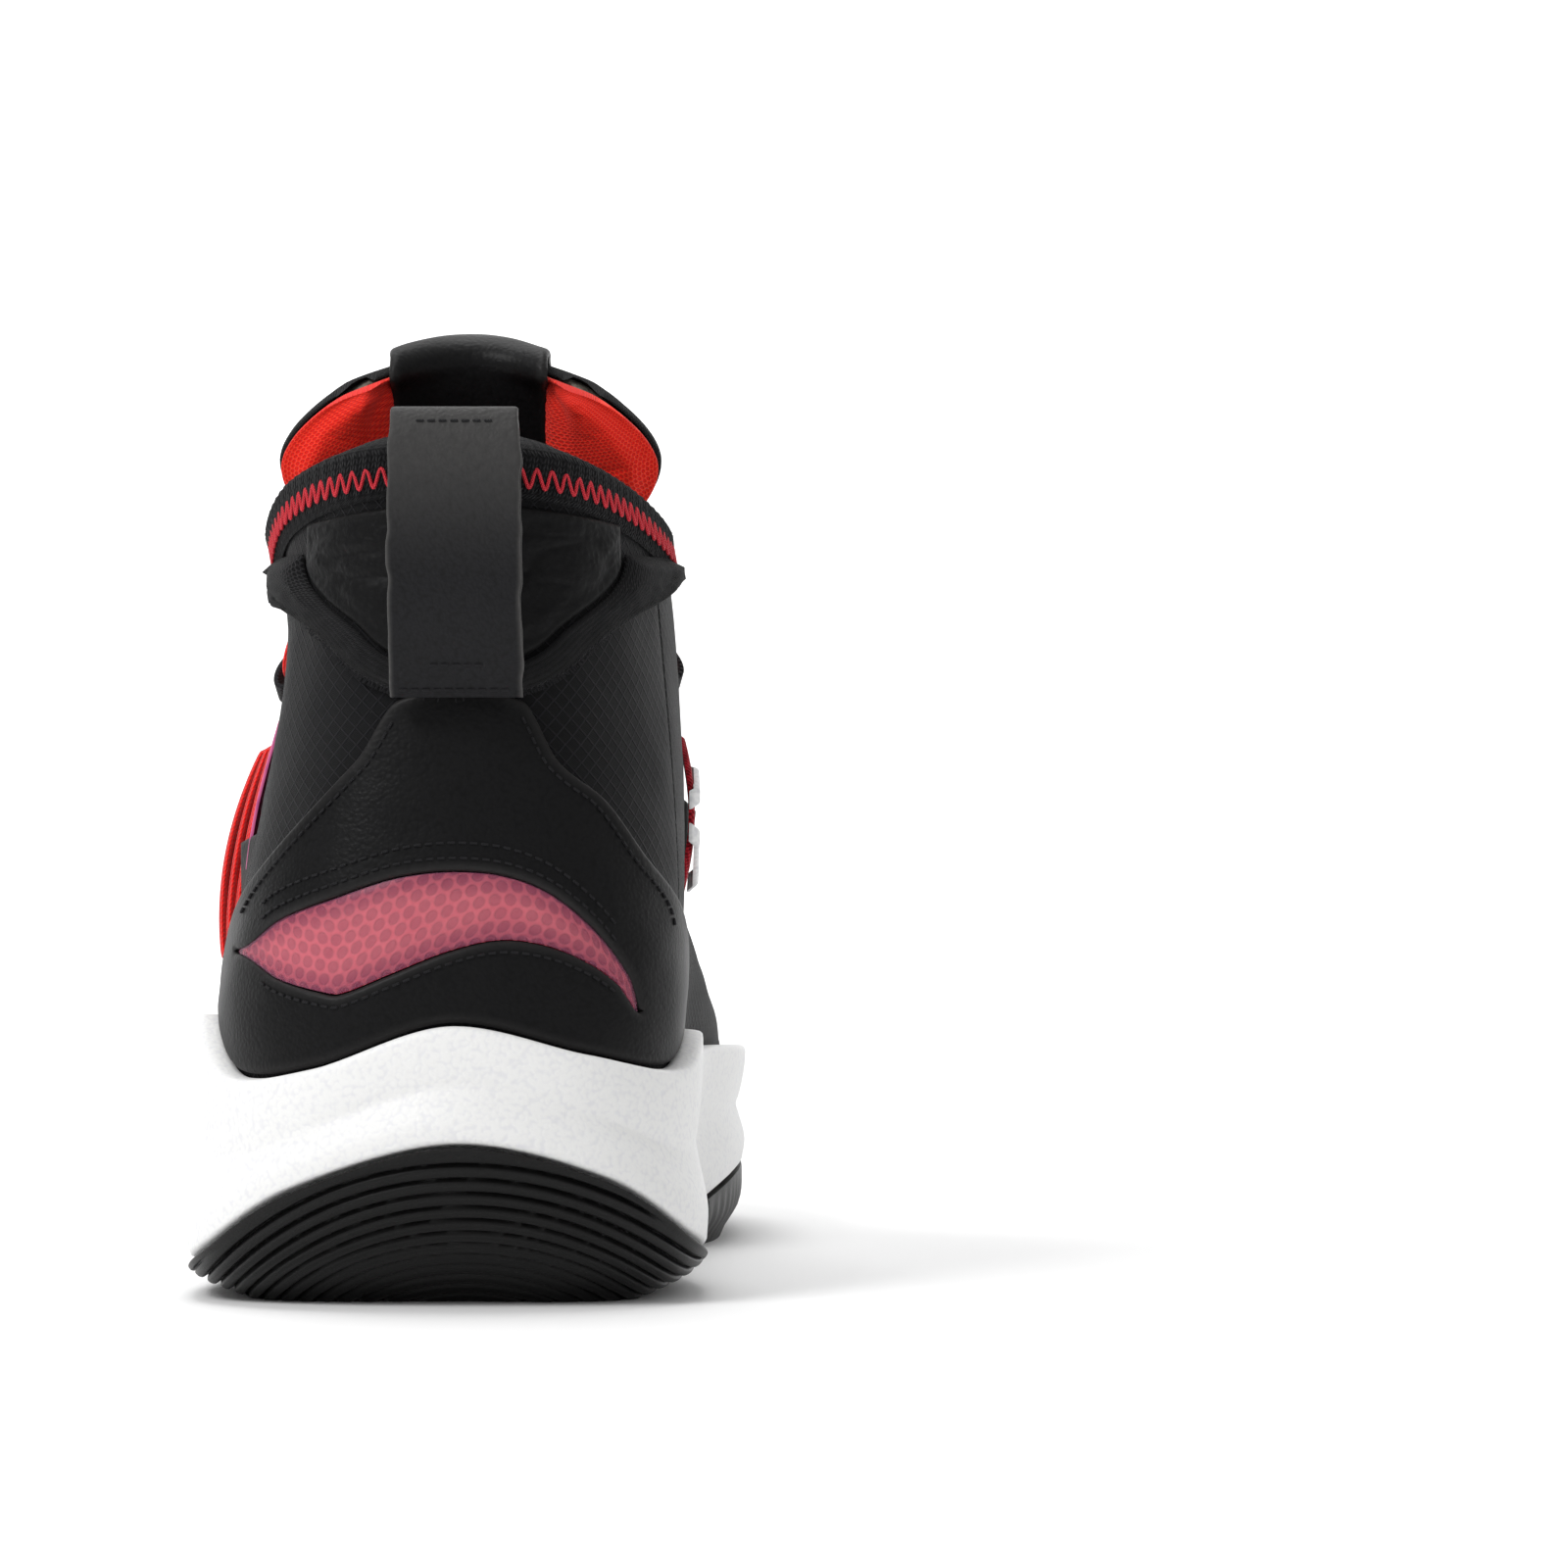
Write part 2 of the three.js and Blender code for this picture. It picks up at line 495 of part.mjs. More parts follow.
// ---------------------------------------------------------------- heel, seen from behind
const FIRST = [GAP, GAP + OVERLAY];                 // offsets of the leather next to the shell
const WINDOW = {                                    // slim crescent opening, x from outer to inner
  from: -38.5, to: 33,
  top: [[-38.5, 63], [-30, 68.6], [-22, 72], [-8, 76.6], [6, 77.2], [16.5, 74], [25, 67], [31, 58.5],
    [33, 52.6]],
  bottom: [[-38.5, 62.2], [-30, 57.8], [-22, 55.6], [-19, 55.4], [-10, 59], [0, 63], [9, 65], [17, 64],
    [24, 61], [29, 57.2], [33, 52]],
};
const windowPatch = (shrink, inner, outer) => heelPatch(20, 3, (a, b) => {
  const x = lerp(WINDOW.from + 3 * shrink, WINDOW.to - 3 * shrink, a);
  const [bottom, top] = [through(WINDOW.bottom, x), through(WINDOW.top, x)];
  const trim = Math.min(shrink * (1 + 2.5 * smooth((x - 24) / 6)), 0.4 * (top - bottom));
  return [x, lerp(bottom + trim, top - trim, b)];
}, inner, outer);

const OVERLAY_TOP = [[-3.55, 53], [-3.1, 58.5], [-2.6, 67.5], [-1.7, 80], [-0.82, 97], [-0.62, 105.4],
  [0.62, 105.4], [0.82, 97], [1.25, 90], [1.7, 79.5], [2.4, 69], [2.9, 58], [3.4, 52]];
const overRim = (station) => atHeight(station, cyclic(RIM, station) + 0.6);
const heelOverlay = panel({
  from: -3.3, to: 3.45, columns: 26, rows: 5,
  low: overRim,
  high: (s) => Math.max(overRim(s) + 0.02, atHeight(s, through(OVERLAY_TOP, -s))),
  inner: FIRST[0], outer: FIRST[1] });
add('heel_overlay', 'leather', cut(heelOverlay, windowPatch(0, -0.4, 3)));
add('heel_window_mesh', 'window', windowPatch(0.5, 0.3, 0.75));
add('heel_window_film', 'film', windowPatch(0.5, 1.05, 1.4));

/** U-shaped line round the ankle panel, s from -1 (outer side) to 1, moved out by a distance. */
const BINDING = { width: 5.2, top: 134.6, depth: 21.6, centre: 1.5 };
function bindingLine(s, out) {
  const turn = (Math.PI / 2) * s;
  const reach = 21 + 6.5 * smooth((Math.abs(s) - 0.55) / 0.45) + out;
  const x = Math.sign(s) * reach * Math.abs(Math.sin(turn)) ** 0.8 + BINDING.centre;
  return [x, BINDING.top - (BINDING.depth + out * 0.95) * Math.cos(turn) ** 0.75];
}
const ON_FABRIC = [0.6, 1.7];                        // offsets of the soft pieces at the ankle
add('mesh_binding', 'mesh',
  heelPatch(24, 1, (a, b) => bindingLine(2 * a - 1, b * BINDING.width), ...ON_FABRIC));
add('achilles_panel', 'leather', heelPatch(12, 5, (a, b) => {
  const [x, floor] = bindingLine(lerp(-0.78, 0.78, a), -0.9);
  return [x, lerp(floor, 141.2 - 0.004 * (x - BINDING.centre) ** 2, b)];
}, ...ON_FABRIC));

// ---------------------------------------------------------------- collar band
/** Knitted band folded over the collar's edge, from the outer face to the inner face. */
function collarBand() {
  const places = steps(-4, 4, 8 / STEP);
  const drop = (s) => BAND / (surface(s, 1).distanceTo(surface(s, 0.9)) * 10);
  const sections = places.map((s) => {
    const rise = surface(s, 1).sub(surface(s, 0.97)).normalize();
    const bottom = 1 - drop(s);
    const inner = liningInner(s, TOP) - GAP - 0.2;
    const out = (t, offset, up) => shellPoint(s, t, offset).addScaledVector(rise, up);
    return [
      out(bottom, 0.6, 0), out(bottom, 1.7, 0), out(1 - drop(s) / 2, 1.8, 0), out(0.995, 1.7, 1),
      out(0.995, -1.2, 2.6), out(0.995, (inner - GAP) / 2, 2.9), out(0.995, inner + 0.6, 2.4),
      out(0.995, inner - 1.1, 0.6), out(bottom, inner - 1, 0), out(bottom, inner, 0),
      out(0.995, inner, 0), out(0.995, inner + 0.3, 0.9), out(0.995, -0.3, 0.9), out(0.995, 0.6, 0.2),
    ];
  });
  const size = sections[0].length;
  const triangles = [];
  for (let k = 0; k + 1 < sections.length; k += 1) {
    for (let j = 0; j < size; j += 1) {
      const [p, q] = [k * size + j, k * size + ((j + 1) % size)];
      triangles.push([p, q, q + size], [p, q + size, p + size]);
    }
  }
  const flat = [[0.3, -8], [1.3, -8], [1.5, -4], [1.4, 1], [-1.2, 2.6], [-4, 2.9], [-8, 2.4], [-9.6, 0.6],
    [-9.5, -8], [-8.5, -8], [-8.5, 0], [-8.2, 0.9], [-0.3, 0.9], [0.3, 0.2]];
  const end = (sections.length - 1) * size;
  for (const [p, q, r] of fillPolygon(flat)) triangles.push([r, q, p], [end + p, end + q, end + r]);
  return solid(sections.flat(), triangles);
}
add('collar_band', 'knit', collarBand());

// ---------------------------------------------------------------- leather and webbing on the sides
const overlayPanel = (from, to, columns, rows, low, high, layer = FIRST) => panel({
  from, to, columns, rows, low, high, inner: layer[0], outer: layer[1] });
const SECOND = [2 * GAP + OVERLAY, 2 * GAP + OVERLAY + 1.2];     // offsets of a second layer
const EYESTAY = [4.5, 8.5];
const EYESTAY_LAYER = [0.6, 0.6 + OVERLAY];
const eyestayLow = (side) => through([[4.5, 0.85], [5, 0.8], [6.5, 0.77], [8.5, 0.76]], side);
add('eyestay_lateral', 'leather', overlayPanel(...EYESTAY, 8, 2, eyestayLow, () => TOP, EYESTAY_LAYER));
add('eyestay_medial', 'leather', overlayPanel(...EYESTAY.map(mirrorStation).reverse(), 8, 2,
  (s) => eyestayLow(sideOf(s)), () => TOP, EYESTAY_LAYER));
add('toe_cap', 'leather', overlayPanel(8.75, mirrorStation(8.75), 16, 3,
  overRim, (s) => 0.36 + 0.14 * Math.sin(Math.PI * (s - 8.75) / (mirrorStation(8.75) - 8.75))));
add('throat_patch', 'leather', overlayPanel(8.6, mirrorStation(8.6), 10, 2, () => 0.8, () => TOP));

/** Strip of the side wall that leans with height: centre(t) is its station, half(t) its half width. */
function sideStrip(low, high, rows, centre, half, inner, outer, columns = 2) {
  return sheet(columns, rows, (a, b, layer) => {
    const t = lerp(low, high, b);
    const station = centre(b) + (2 * a - 1) * half(b);
    const offset = layer ? outer : inner;
    return shellPoint(station, t, typeof offset === 'function' ? offset(a, b) : offset);
  });
}
const lateralLow = 0.34;
const lateralHigh = 0.755;
add('webbing_lateral', 'webbing', sideStrip(lateralLow, lateralHigh, 6,
  (b) => 4.75 + 0.1 * b, () => 0.2, FIRST[0], FIRST[1]));
add('film_wing_lateral', 'film', sideStrip(0.46, 0.74, 6, (b) => 4.62 - 0.12 * b,
  (b) => 0.34 - 0.1 * b, (a, b) => SECOND[0] + 4 * (1 - a) * Math.sin(Math.PI * (0.2 + 0.75 * b)),
  (a, b) => SECOND[0] + 0.7 + 4 * (1 - a) * Math.sin(Math.PI * (0.2 + 0.75 * b)), 3));
add('tab_lateral', 'leather', sideStrip(0.4, 0.54, 3, () => 4.27, (b) => 0.14 + 0.05 * b,
  (a, b) => FIRST[0] + 3 * b * a, (a, b) => FIRST[1] + 3 * b * a));
const medialCentre = mirrorStation(4.1);
add('webbing_medial', 'webbing', sideStrip(0.42, 0.68, 8, () => medialCentre,
  (b) => 0.02 + 0.15 * Math.sin(Math.PI * b), FIRST[0], FIRST[1]));
const medialBar = (t, tilt) => sheet(6, 1, (a, b, layer) => shellPoint(
  medialCentre + lerp(0.26, -0.3, a), t + tilt * (a - 0.5) + 0.028 * (b - 0.5),
  SECOND[0] + (layer ? 1.1 : 0)));
add('bar_medial_upper', 'white', medialBar(0.6, 0.07));
add('bar_medial_lower', 'white', medialBar(0.485, -0.06));
add('tab_medial', 'leather', sideStrip(0.5, 0.6, 2, () => mirrorStation(4.62), () => 0.12,
  (a, b) => FIRST[0] + 2 * b * (1 - a), (a, b) => FIRST[1] + 2 * b * (1 - a)));

// ---------------------------------------------------------------- tongue
// Middle line of the tongue's outer face, [y, z] from the vamp to the free end.
const SPINE = [[232, 50], [214, 56.5], [192, 65], [166, 79], [140, 97.5], [120, 115], [110.5, 131],
  [104, 150],
  [97.5, 166], [93, 176]];
const HALF_WIDTH = [[0, 15], [0.3, 19], [0.55, 20.5], [0.68, 20.5], [0.73, 23], [0.79, 33], [0.86, 36],
  [0.95, 35], [1, 30]];
const DISH = [[0, 5], [0.3, 7], [0.6, 6.5], [0.7, 7], [0.8, 11], [1, 12]];
const spine = new THREE.CatmullRomCurve3(SPINE.map(([y, z]) => vec(0, y, z)), false, 'centripetal');
const HINGE_AT = 0.655;          // share of the spine where the free part starts

/** Point of the tongue: along from vamp to tip, across from -1 (outer side) to 1, depth inwards. */
function tonguePoint(along, across, depth) {
  const point = spine.getPoint(along);
  const tangent = spine.getTangent(along);
  const inward = vec(0, -tangent.z, tangent.y).normalize();
  if (inward.y > 0) inward.negate();
  const reach = through(HALF_WIDTH, along);
  point.x = across * reach + 0.4;
  return point.addScaledVector(inward, through(DISH, along) * across * across + depth);
}
const tonguePiece = (from, to, columns, rows, half, front, back) => sheet(columns, rows, (a, b, layer) => (
  tonguePoint(lerp(from, to, a), lerp(-half, half, b), layer ? front : back)));
add('tongue_base', 'knit', tonguePiece(0, HINGE_AT - 0.006, 12, 6, 1, 0, 2.2));
add('tongue_base_lining', 'red', tonguePiece(0, HINGE_AT - 0.006, 12, 6, 0.96, 2.6, 4.3));
add('tongue_cover', 'knit', tonguePiece(HINGE_AT + 0.006, 0.985, 9, 8, 1, 0, 1.5));
add('tongue_foam', 'padding', tonguePiece(HINGE_AT + 0.006, 0.985, 9, 8, 0.97, 1.9, 6.4));
add('tongue_lining', 'red', tonguePiece(HINGE_AT + 0.006, 0.985, 9, 8, 0.98, 6.8, 8.6));

/** Pull tab of the tongue: a strip folded over the free end, flat on both faces. */
function tongueTab() {
  const half = TAB_WIDTH / 2;
  const path = [[0.74, 8.6 + 0.5], [0.8, 9.1], [0.88, 9.1], [0.95, 9.1], [1, 8.9], [1, 4.5], [1, -0.1],
    [0.97, -0.5],
    [0.93, -0.5]];
  const skin = (along, depth) => {
    const reach = through(HALF_WIDTH, along);
    return [-1, -0.5, 0, 0.5, 1].map((k) => tonguePoint(along, (k * half) / reach, depth));
  };
  const tip = (lift) => (point) => point.add(spine.getTangent(1).multiplyScalar(lift));
  const raise = [0, 0, 0, 0, 2.4, 3.6, 2.4, 0, 0];
  const inner = path.map(([along, depth], k) => skin(Math.min(along, 0.999), depth).map(tip(raise[k])));
  const shift = [1.4, 1.4, 1.4, 1.4, 1, 0, -1, -1.4, -1.4];
  const outer = path.map(([along, depth], k) => skin(Math.min(along, 0.999), depth + shift[k])
    .map(tip(raise[k] + (Math.abs(shift[k]) < 1.2 ? 1.2 : 0))));
  return sheet(path.length - 1, 4, (a, b, layer) => (
    (layer ? outer : inner)[Math.round(a * (path.length - 1))][Math.round(b * 4)]));
}
add('tongue_pull_tab', 'leather', tongueTab());

// ---------------------------------------------------------------- lacing
const EYELET_T = 0.9;
const eyeletFrame = (station) => {
  const centre = shellPoint(station, EYELET_T, EYESTAY_LAYER[1] + 0.5 + LOOP.height / 2);
  const along = surface(station + 0.05, EYELET_T).sub(surface(station - 0.05, EYELET_T)).normalize();
  return { centre, along, out: normalAt(station, EYELET_T) };
};
const LOOP = { length: 5.5, width: 10.4, height: 5.6, wall: 0.9 };

/** Webbing loop that holds the lace: an oval sleeve lying along the throat's edge. */
function laceLoop(station) {
  const { centre, along, out } = eyeletFrame(station);
  const across = out.clone().cross(along).normalize();
  const oval = (shrink, end) => steps(0, 2 * Math.PI, 12).slice(0, 12).map((angle) => centre.clone()
    .addScaledVector(across, (LOOP.width / 2 - shrink) * Math.cos(angle))
    .addScaledVector(out, (LOOP.height / 2 - shrink) * Math.sin(angle))
    .addScaledVector(along, (end * LOOP.length) / 2));
  const rings = [oval(0, -1), oval(0, 1), oval(LOOP.wall, 1), oval(LOOP.wall, -1)];
  const triangles = [];
  rings.forEach((ring, k) => ring.forEach((_, j) => {
    const [p, q] = [k * 12 + j, k * 12 + ((j + 1) % 12)];
    const [r, t] = [((k + 1) % 4) * 12 + j, ((k + 1) % 4) * 12 + ((j + 1) % 12)];
    triangles.push([p, q, t], [p, t, r]);
  }));
  return solid(rings.flat(), triangles);
}
/** The lace's knots: points with the direction its flat side faces. Down one zigzag through the
 *  loops, across the lowest row, up the other; both ends are tucked in beside the tongue. */
function laceKnots() {
  const knots = [];
  const stationOf = (row, side) => (side < 0 ? ROWS[row] : mirrorStation(ROWS[row]));
  const frameOf = (row, side) => eyeletFrame(stationOf(row, side));
  const pass = (row, side, direction) => {            // direction 1 goes towards the toe
    const { centre, along, out } = frameOf(row, side);
    for (const reach of [-1, 0, 1]) {
      const shift = -side * direction * reach * (LOOP.length / 2 + 2);
      knots.push([centre.clone().addScaledVector(along, shift), out]);
    }
  };
  const cross = (rowFrom, rowTo, side, lift) => {     // from one side over the throat to the other
    const edge = (share, where) => {
      const station = lerp(stationOf(rowFrom, where), stationOf(rowTo, where), share);
      const out = normalAt(station, 1);
      return [surface(station, 1).addScaledVector(out, LACE_CLEAR), out];
    };
    const [start, end] = [edge(0.25, side), edge(0.75, -side)];
    const out = start[1].clone().add(end[1]).setX(0).normalize();
    const middle = start[0].clone().lerp(end[0], 0.5).addScaledVector(out, lift);
    knots.push(start, [middle, out], end);
  };
  const tail = (side) => {
    const at = (station, t, offset, turn) => {
      const s = side < 0 ? station : mirrorStation(station);
      const rise = surface(s, 1).sub(surface(s, 0.97)).normalize();
      const facing = normalAt(s, t).multiplyScalar(Math.cos(turn));
      return [shellPoint(s, t, offset), facing.addScaledVector(rise, Math.sin(turn))];
    };
    const [edge, up] = at(4.78, 1, -0.6, Math.PI / 2);
    return [at(4.84, 0.84, -6.6, Math.PI), at(4.8, 0.93, -6.4, Math.PI), [edge.addScaledVector(up, 4), up],
      at(4.86, 0.95, 4.6, 0)];
  };
  knots.push(...tail(-1));
  for (let row = 4; row >= 0; row -= 1) {
    const side = row % 2 ? 1 : -1;
    pass(row, side, 1);
    cross(row, Math.max(0, row - 1), side, row ? LACE_OVER : LACE_BAR);
  }
  for (let row = 0; row <= 4; row += 1) {
    const side = row % 2 ? -1 : 1;
    pass(row, side, -1);
    if (row < 4) cross(row, row + 1, side, LACE_UNDER);
  }
  knots.push(...tail(1).reverse());
  return knots;
}

/** Flat lace: an oval section swept along its knots, thicker by a margin where a cutter is wanted. */
function lace(margin = 0) {
  const knots = laceKnots();
  const line = new THREE.CatmullRomCurve3(knots.map(([point]) => point), false, 'centripetal');
  const facing = new THREE.CatmullRomCurve3(knots.map(([, out]) => out), false, 'catmullrom');
  const count = 2 * (knots.length - 1);
  const rings = steps(0, 1, count).map((share) => {
    const along = line.getTangent(share);
    const out = facing.getPoint(share).projectOnPlane(along).normalize();
    const across = along.clone().cross(out);
    return steps(0, 2 * Math.PI, LACE_SIDES).slice(1).map((angle) => line.getPoint(share)
      .addScaledVector(across, (LACE_WIDTH / 2 + margin) * Math.cos(angle))
      .addScaledVector(out, (LACE_THICK / 2 + margin) * Math.sin(angle)));
  });
  return ringStack(rings);
}
add('lace', 'lace', lace());
const laceCutter = lace(GAP);      // loops are hollowed where the lace bends out of them
ROWS.forEach((station, k) => {
  add(`lace_loop_lateral_${k + 1}`, 'webbing', cut(laceLoop(station), laceCutter));
  add(`lace_loop_medial_${k + 1}`, 'webbing', cut(laceLoop(mirrorStation(station)), laceCutter));
});

// ---------------------------------------------------------------- heel pull loop
// Doubled strap seen from the side, [y, z]: up its outer leg, over the fold, down beside the collar.
const STRAP_SIDE = [[9.7, 108.4], [6.2, 114], [2.7, 122], [1, 132], [0.6, 142], [1.2, 151], [2.5, 156.5],
  [4.9, 159.6],
  [7.3, 158.7], [8.7, 155], [9.1, 148], [9.1, 138], [9.5, 128], [10.6, 119], [11.8, 113], [12.7, 108.4]];
const STRAP_HOLE = [[9.1, 119], [8, 128], [7.6, 138], [7.6, 147.8], [7.2, 154.4], [6.4, 156.8], [5.2, 157.6],
  [3.8, 155.6], [2.7, 150.8], [2.1, 142], [2.5, 132.2], [4.3, 122.4], [9.3, 114.4]];

function heelLoop() {
  const shape = new THREE.Shape(STRAP_SIDE.map(([y, z]) => new THREE.Vector2(y, z)));
  shape.holes.push(new THREE.Path(STRAP_HOLE.map(([y, z]) => new THREE.Vector2(y, z))));
  const geometry = new THREE.ExtrudeGeometry(shape, { depth: STRAP_WIDTH, bevelEnabled: false });
  const from = STRAP_CENTRE - STRAP_WIDTH / 2;
  return geometry.applyMatrix4(new THREE.Matrix4().set(0, 0, 1, from, 1, 0, 0, 0, 0, 1, 0, 0, 0, 0, 0, 1));
}
add('heel_pull_loop', 'strap', heelLoop());

// The origin is the middle of the base: the ground under the centre of the shoe's box.
const box = new THREE.Box3().setFromObject(shoe);
const middle = box.getCenter(vec(0, 0, 0));
shoe.position.set(-middle.x, -middle.y, -box.min.z);

export default shoe;
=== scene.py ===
"""Basketball high top, left foot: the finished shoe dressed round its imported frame.

The shoe is described in its maker's own millimetres, as on the last: x = 0 is the middle of the
heel, +x the inner side of the foot, y = 0 the rearmost point of the sole, z = 0 the ground. One
call moves everything into the frame, in metres. The upper is one surface that runs round the
shoe; each panel is a patch of it, lifted off by an offset.
"""

import enum
import logging
import math
from dataclasses import dataclass
from typing import Callable, Sequence

import bpy
import numpy as np
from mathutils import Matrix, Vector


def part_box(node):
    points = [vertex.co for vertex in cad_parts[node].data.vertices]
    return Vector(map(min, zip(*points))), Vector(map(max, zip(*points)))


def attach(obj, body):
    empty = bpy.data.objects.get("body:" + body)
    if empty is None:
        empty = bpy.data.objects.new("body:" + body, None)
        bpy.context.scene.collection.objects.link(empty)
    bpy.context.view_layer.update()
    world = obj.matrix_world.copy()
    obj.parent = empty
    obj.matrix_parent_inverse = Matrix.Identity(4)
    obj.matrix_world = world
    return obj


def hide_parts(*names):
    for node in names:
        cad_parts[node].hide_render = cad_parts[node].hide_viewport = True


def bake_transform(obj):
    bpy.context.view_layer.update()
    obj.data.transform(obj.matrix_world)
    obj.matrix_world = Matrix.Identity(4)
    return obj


Array = np.ndarray
Curve = Callable[[Array], Array]
Pairs = Sequence[tuple[float, float]]

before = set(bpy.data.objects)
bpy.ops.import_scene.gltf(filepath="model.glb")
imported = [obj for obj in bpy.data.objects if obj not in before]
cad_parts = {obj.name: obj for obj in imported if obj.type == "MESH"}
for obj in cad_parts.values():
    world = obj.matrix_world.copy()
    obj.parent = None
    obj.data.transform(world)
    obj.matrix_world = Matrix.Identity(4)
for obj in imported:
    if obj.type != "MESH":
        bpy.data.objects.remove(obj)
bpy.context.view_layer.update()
LOG = logging.getLogger("high_top")

MM = 0.001
GAP = 0.4            # clearance that sewn layers keep, mm
SHELL = 1.4          # outer fabric
OVERLAY = 1.2        # leather on top of it
LINING = 1.5
BOARD = 1.9
RUBBER = 4.5
SHANK = 2.2
TOE_SPRING = 9.0
TOE_SPRING_START = 215.0
SHOE_LENGTH = 300.0
TOP = 0.984          # share of the profile where fabric ends under the collar band
LEATHER_LAYER = (GAP, GAP + OVERLAY)
SECOND_LAYER = (2 * GAP + OVERLAY, 2 * GAP + 2 * OVERLAY)


class Body(enum.Enum):
    """The frame's moving bodies."""

    SHOE = "shoe"
    FLAP = "tongue_flap"
    PULL = "pull_loop"


class Side(enum.Enum):
    """The two sides of the shoe; the value is the sign of x."""

    LATERAL = -1
    MEDIAL = 1


# ------ numbers as curves
def lerp(start: Array, end: Array, share: Array) -> Array:
    """Straight mix of two values."""
    return start + (end - start) * share


def smooth(value: Array) -> Array:
    """Smooth step from 0 to 1 as the value goes from 0 to 1."""
    c = np.clip(value, 0.0, 1.0)
    return c * c * (3 - 2 * c)


def through(pairs: Pairs, place: Array) -> Array:
    """Smooth curve through [place, value] pairs, flat past the ends.

    Args:
        pairs: places in rising order with their values.
        place: where the curve is wanted.

    Returns:
        The cubic between neighbours, with slopes taken across each inner pair.
    """
    xs, ys = np.array(pairs, float).T
    slopes = np.zeros_like(ys)
    slopes[1:-1] = (ys[2:] - ys[:-2]) / (xs[2:] - xs[:-2])
    return hermite(xs, ys, slopes, np.clip(place, xs[0], xs[-1]))


def hermite(xs: Array, ys: Array, slopes: Array, at: Array) -> Array:
    """Cubic curve through values with given slopes.

    Args:
        xs, ys, slopes: rising places, the value and the slope at each.
        at: where the curve is wanted.

    Returns:
        ys + f (a + f (3 rise - 2 a - b + f (a + b - 2 rise))), with f the share of the way to the
        next place and a, b the slopes times the width.
    """
    k = np.clip(np.searchsorted(xs, at, side="right") - 1, 0, len(xs) - 2)
    width = xs[k + 1] - xs[k]
    f = (at - xs[k]) / width
    rise = ys[k + 1] - ys[k]
    a, b = slopes[k] * width, slopes[k + 1] * width
    return ys[k] + f * (a + f * (3 * rise - 2 * a - b + f * (a + b - 2 * rise)))


def spline(knots: Array, share: Array) -> Array:
    """Smooth line through evenly spread knots (Catmull-Rom).

    Args:
        knots: values (n, ...).
        share: places wanted, 0 at the first knot and 1 at the last.

    Returns:
        The cubic between the two nearest knots, sloped towards their neighbours.
    """
    count = len(knots) - 1
    place = np.clip(share, 0, 1) * count
    k = np.clip(place.astype(int), 0, count - 1)
    f = (place - k).reshape((-1,) + (1,) * (knots.ndim - 1))
    p = [knots[np.clip(k + n, 0, count)] for n in (-1, 0, 1, 2)]
    return p[1] + 0.5 * f * (p[2] - p[0] + f * (2 * p[0] - 5 * p[1] + 4 * p[2] - p[3]
                                                + f * (3 * (p[1] - p[2]) + p[3] - p[0])))


def edge_steps(count: int, edge: float) -> Array:
    """Positions 0 to 1 with a few extra ones close to both ends, for a rounded border.

    Args:
        count: even steps over the middle.
        edge: width of each border as a share of the whole.

    Returns:
        count + 9 rising positions.
    """
    close = np.array([0.0, 0.07, 0.25, 0.55]) * edge
    inner = np.linspace(edge, 1 - edge, count + 1)
    return np.concatenate([close, inner, 1 - close[::-1]])


def unit(vectors: Array) -> Array:
    """Vectors scaled to length one."""
    return vectors / np.maximum(np.linalg.norm(vectors, axis=-1, keepdims=True), 1e-9)


def floats(*values: Array | float) -> Sequence[Array]:
    """The values as float arrays of one shape."""
    return np.broadcast_arrays(*(np.asarray(value, float) for value in values))


def run_along(line: Array) -> Array:
    """Distance from the start of a line (n, 3) to each of its points."""
    return np.concatenate([[0], np.cumsum(np.linalg.norm(np.diff(line, axis=0), axis=1))])


class Roughness:
    """Repeatable smooth noise in space: a lattice of seeded values, smoothly mixed."""

    def __init__(self, seed: int) -> None:
        """Fills the lattice from a seed."""
        self.lattice = np.random.default_rng(seed).uniform(-1, 1, (16, 16, 16))

    def __call__(self, points: Array, size: float) -> Array:
        """Lattice values mixed over each cell.

        Args:
            points: places in mm (..., 3).
            size: width of a lump, mm.

        Returns:
            Values from -1 to 1.
        """
        place = points / size
        cell = np.floor(place).astype(int)
        f = smooth(place - cell)
        total = np.zeros(points.shape[:-1])
        for corner in np.ndindex(2, 2, 2):
            weight = np.ones(points.shape[:-1])
            for axis in range(3):
                weight = weight * (f[..., axis] if corner[axis] else 1 - f[..., axis])
            index = tuple((cell[..., axis] + corner[axis]) % 16 for axis in range(3))
            total += weight * self.lattice[index]
        return total


LUMPS = Roughness(7)


# ------ the last
@dataclass(frozen=True)
class Station:
    """Profile of the shoe at one place round it, mm.

    base, low, high and top steer the upper's cubic profile; edge is the sole's outline there,
    rim the top of the midsole wall, rubber the top of the outsole's turned-up border.
    """

    base: tuple[float, float, float]
    low: tuple[float, float, float]
    high: tuple[float, float, float]
    top: tuple[float, float, float]
    edge: tuple[float, float]
    rim: float
    rubber: float


